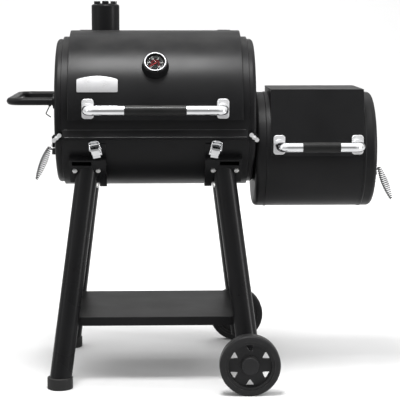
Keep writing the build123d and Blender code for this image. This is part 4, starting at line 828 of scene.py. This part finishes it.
LOOP_LOW, LOOP_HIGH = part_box("side_handle_loop")
HANDLE_Z = (LOOP_LOW.z + LOOP_HIGH.z) / 2
FLANGE_RADIUS = (LOOP_HIGH.z - LOOP_LOW.z) / 2
TUBE_RADIUS = 11 * MM
FLANGE_THICK = 4 * MM
BEAD_STEPS = 96
for label, facing in (("front", -1), ("rear", 1)):
    handle_y = facing * (LOOP_HIGH.y - FLANGE_RADIUS)
    ring = []
    for step in range(BEAD_STEPS):
        turn = 2 * math.pi * step / BEAD_STEPS
        ring.append(Vector((LOOP_HIGH.x - FLANGE_THICK - 0.4 * MM,
                            handle_y + (TUBE_RADIUS + 0.5 * MM) * math.cos(turn),
                            HANDLE_Z + (TUBE_RADIUS + 0.5 * MM) * math.sin(turn))))
    weld_bead(f"handle_weld_{label}", ring, 3.2 * MM, "barrel_and_stand", 22)

CHIMNEY_LOW, CHIMNEY_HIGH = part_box("chimney_damper")
CHIMNEY_X = (CHIMNEY_LOW.x + CHIMNEY_HIGH.x) / 2
CHIMNEY_Y = (CHIMNEY_LOW.y + CHIMNEY_HIGH.y) / 2
CHIMNEY_RADIUS = 44 * MM
COLLAR_TOP = BARREL_RADIUS + 4 * MM
ring = []
for step in range(BEAD_STEPS):
    turn = 2 * math.pi * step / BEAD_STEPS
    x = CHIMNEY_X + (CHIMNEY_RADIUS + 0.4 * MM) * math.cos(turn)
    y = CHIMNEY_Y + (CHIMNEY_RADIUS + 0.4 * MM) * math.sin(turn)
    ring.append(Vector((x, y, BARREL_Z + math.sqrt(COLLAR_TOP ** 2 - y ** 2))))
weld_bead("chimney_weld", ring, 4.0 * MM, "barrel_and_stand", 40)
print("weld beads: 3")

# %% [markdown]
# ## Rolled hems on the front rail
# Cut sheet edges are folded over so that they don't cut fingers. Each hem is a thin round edge
# along the rail, at its top and at its nose, and it is what catches the light as a fine line.

# %% Lay the hems
rail_points = [vertex.co for vertex in NODES["front_rail"].data.vertices]
rail_nose = min(rail_points, key=lambda point: point.y)
rail_top = max(rail_points, key=lambda point: point.z)
HEM = 2.6 * MM
HEM_HALF = (BARREL_HIGH.x - BARREL_LOW.x) / 2 - 10 * MM
for label, edge, inset in (("nose", rail_nose, 0.4 * MM), ("top", rail_top, 0.6 * MM)):
    ends = [Vector((BARREL.x + side * HEM_HALF, edge.y + inset, edge.z)) for side in (-1, 1)]
    hem = wire_mesh(f"rail_hem_{label}", ends, HEM, ENAMEL["hem"])
    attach(hem, "barrel_and_stand")
print("rail nose:", [round(value, 3) for value in rail_nose])
print("rail top:", [round(value, 3) for value in rail_top])

# %% [markdown]
# ## Floor and backdrop
# The smoker stands on a seamless pale sweep, as in a studio: a floor that curves up far behind
# into a wall. The paper's faint mottling keeps it from looking like a computer's perfect white.
# Its tone also depends on the kind of ray and on the place, which no real paper does: mirror
# rays see a painted reflection, dark far in front of the smoker and dimmer far behind it, and
# camera rays see painted shade that darkens the paper towards the back. That is tuned for the
# main camera, and from other sides an edge can show behind the smoker.

# %% Paper sweep
def paper_material():
    """Matt paper; mirror rays see a painted reflection, camera rays painted shade, others its tone.
    """
    material, tree, shader = start_material("paper_painted_shade_and_reflection")
    skin = use_group(tree, ORANGE_PEEL, Scale=60.0, Tone_Scale=1.5)
    colour = mix_colours(tree, skin.outputs["Tone"], (0.75, 0.75, 0.75), (0.77, 0.77, 0.77))
    place = add_node(tree, "ShaderNodeTexCoord")
    parts = add_node(tree, "ShaderNodeSeparateXYZ")
    tree.links.new(place.outputs["Object"], parts.inputs[0])
    # Painted reflection: mirror rays see the paper dark far in front of the smoker and dimmer far
    # behind it.
    painted_reflection_tone = mix_colours(tree, remap(tree, parts.outputs["Y"], -4.0, -0.4), (0.12, 0.12, 0.12),
                           (0.52, 0.52, 0.52))
    painted_reflection_tone = mix_colours(tree, remap(tree, parts.outputs["Y"], 5.0, 8.0), painted_reflection_tone,
                           (0.36, 0.36, 0.36))
    ray = add_node(tree, "ShaderNodeLightPath")
    # Painted shade: camera rays see the paper darker towards the back.
    painted_camera_shade = mix_colours(tree, remap(tree, parts.outputs["Y"], 0.8, 4.0), colour,
                       (0.585, 0.585, 0.585))
    colour = mix_colours(tree, ray.outputs["Is Camera Ray"], colour, painted_camera_shade)
    colour = mix_colours(tree, ray.outputs["Is Glossy Ray"], colour, painted_reflection_tone)
    tree.links.new(colour, shader.inputs["Base Color"])
    shader.inputs["Roughness"].default_value = 0.9
    shader.inputs["Specular IOR Level"].default_value = 0.1
    return material


SWEEP_HALF, SWEEP_FRONT, SWEEP_BACK, SWEEP_RISE = 14.0, -9.0, 6.5, 5.0
profile = [(SWEEP_FRONT, 0.0), (SWEEP_BACK, 0.0)]
CORNER = 3.0
CORNER_STEPS = 12
for step in range(1, CORNER_STEPS + 1):
    turn = math.pi / 2 * step / CORNER_STEPS
    profile.append((SWEEP_BACK + CORNER * math.sin(turn), CORNER * (1 - math.cos(turn))))
profile.append((SWEEP_BACK + CORNER, CORNER + SWEEP_RISE))
sweep_points = [(side * SWEEP_HALF, y, z) for side in (-1, 1) for y, z in profile]
rows = len(profile)
sweep_faces = [[row, row + rows, row + rows + 1, row + 1] for row in range(rows - 1)]
sweep_mesh = bpy.data.meshes.new("paper_sweep")
sweep_mesh.from_pydata(sweep_points, [], sweep_faces)
sweep_mesh.materials.append(paper_material())
for face in sweep_mesh.polygons:
    face.use_smooth = True
sweep = bpy.data.objects.new("paper_sweep", sweep_mesh)
bpy.context.scene.collection.objects.link(sweep)
print("sweep rows:", rows)

# %% [markdown]
# ## Light
# A soft box above and in front draws the broad sheen across the lid's curve. Two tall boxes
# stand at the sides, and a wide lamp lights the wall. The room is pale light, stronger above and
# weaker behind the camera, which chrome needs in order to look bright. The camera sees it white.

# %% Lamps and room
def soft_box(name, place, aim, width, height, power):
    """A rectangular lamp that faces a point."""
    lamp = bpy.data.lights.new(name, "AREA")
    lamp.shape = "RECTANGLE"
    lamp.size, lamp.size_y = width, height
    lamp.energy = power
    holder = bpy.data.objects.new(name, lamp)
    bpy.context.scene.collection.objects.link(holder)
    holder.location = place
    holder.rotation_euler = (Vector(aim) - Vector(place)).to_track_quat("-Z", "Y").to_euler()
    return holder


LID_HEART = Vector((BARREL.x, -0.15, BARREL_Z + 0.15))
soft_box("lid_softbox", (BARREL.x - 0.05, -0.86, 3.15), LID_HEART, 0.72, 0.95, 82.0)
soft_box("right_strip", (3.1, -1.4, 0.95), (FIREBOX.x, 0.0, FIREBOX_Z), 0.32, 1.7, 40.0)
soft_box("left_strip", (-3.1, -1.2, 1.3), (BARREL.x, 0.0, BARREL_Z), 0.5, 2.0, 7.0)
soft_box("backdrop_light", (0.0, 3.2, 4.2), (0.0, 7.0, 1.0), 6.0, 2.0, 380.0)

room = bpy.data.worlds.new("studio_room")
bpy.context.scene.world = room
room.use_nodes = True
tree = room.node_tree
background = tree.nodes["Background"]
background.inputs["Strength"].default_value = 1.0
place = add_node(tree, "ShaderNodeTexCoord")
parts = add_node(tree, "ShaderNodeSeparateXYZ")
tree.links.new(place.outputs["Generated"], parts.inputs[0])
dimmed = remap(tree, parts.outputs["Z"], -0.15, 0.75, 0.52, 1.25)
behind_camera = remap(tree, parts.outputs["Y"], -0.99, -0.8, 0.35, 1.0)
dimmed = calculate(tree, "MULTIPLY", dimmed, behind_camera)
ray = add_node(tree, "ShaderNodeLightPath")
diffuse = calculate(tree, "MULTIPLY", ray.outputs["Is Diffuse Ray"], 0.1)
level = calculate(tree, "SUBTRACT", dimmed, diffuse)
level = calculate(tree, "MAXIMUM", level, ray.outputs["Is Camera Ray"])
tree.links.new(level, background.inputs["Color"])
bpy.context.scene.view_settings.view_transform = "Standard"

# %% [markdown]
# ## Camera
# The camera stands a little over four metres away at chest height with a long lens, so lines
# stay nearly parallel. It looks slightly down, and slightly to the right of straight ahead.

# %% Camera
CAMERA_AWAY = 4.3886
CAMERA_HEIGHT = 1.0992
CAMERA_SIDE = 2.8 * MM
LOOK_DOWN = 7.437
LOOK_RIGHT = 1.759
SENSOR = 36.0
LENS = 127.77
camera_data = bpy.data.cameras.new("studio_camera")
camera_data.sensor_width = SENSOR
camera_data.lens = LENS
camera = bpy.data.objects.new("studio_camera", camera_data)
bpy.context.scene.collection.objects.link(camera)
camera.location = (BARREL.x + CAMERA_SIDE, -CAMERA_AWAY, CAMERA_HEIGHT)
camera.rotation_euler = (math.radians(90.0 - LOOK_DOWN), 0.0, math.radians(-LOOK_RIGHT))
bpy.context.scene.camera = camera
print("camera at", [round(value, 3) for value in camera.location])
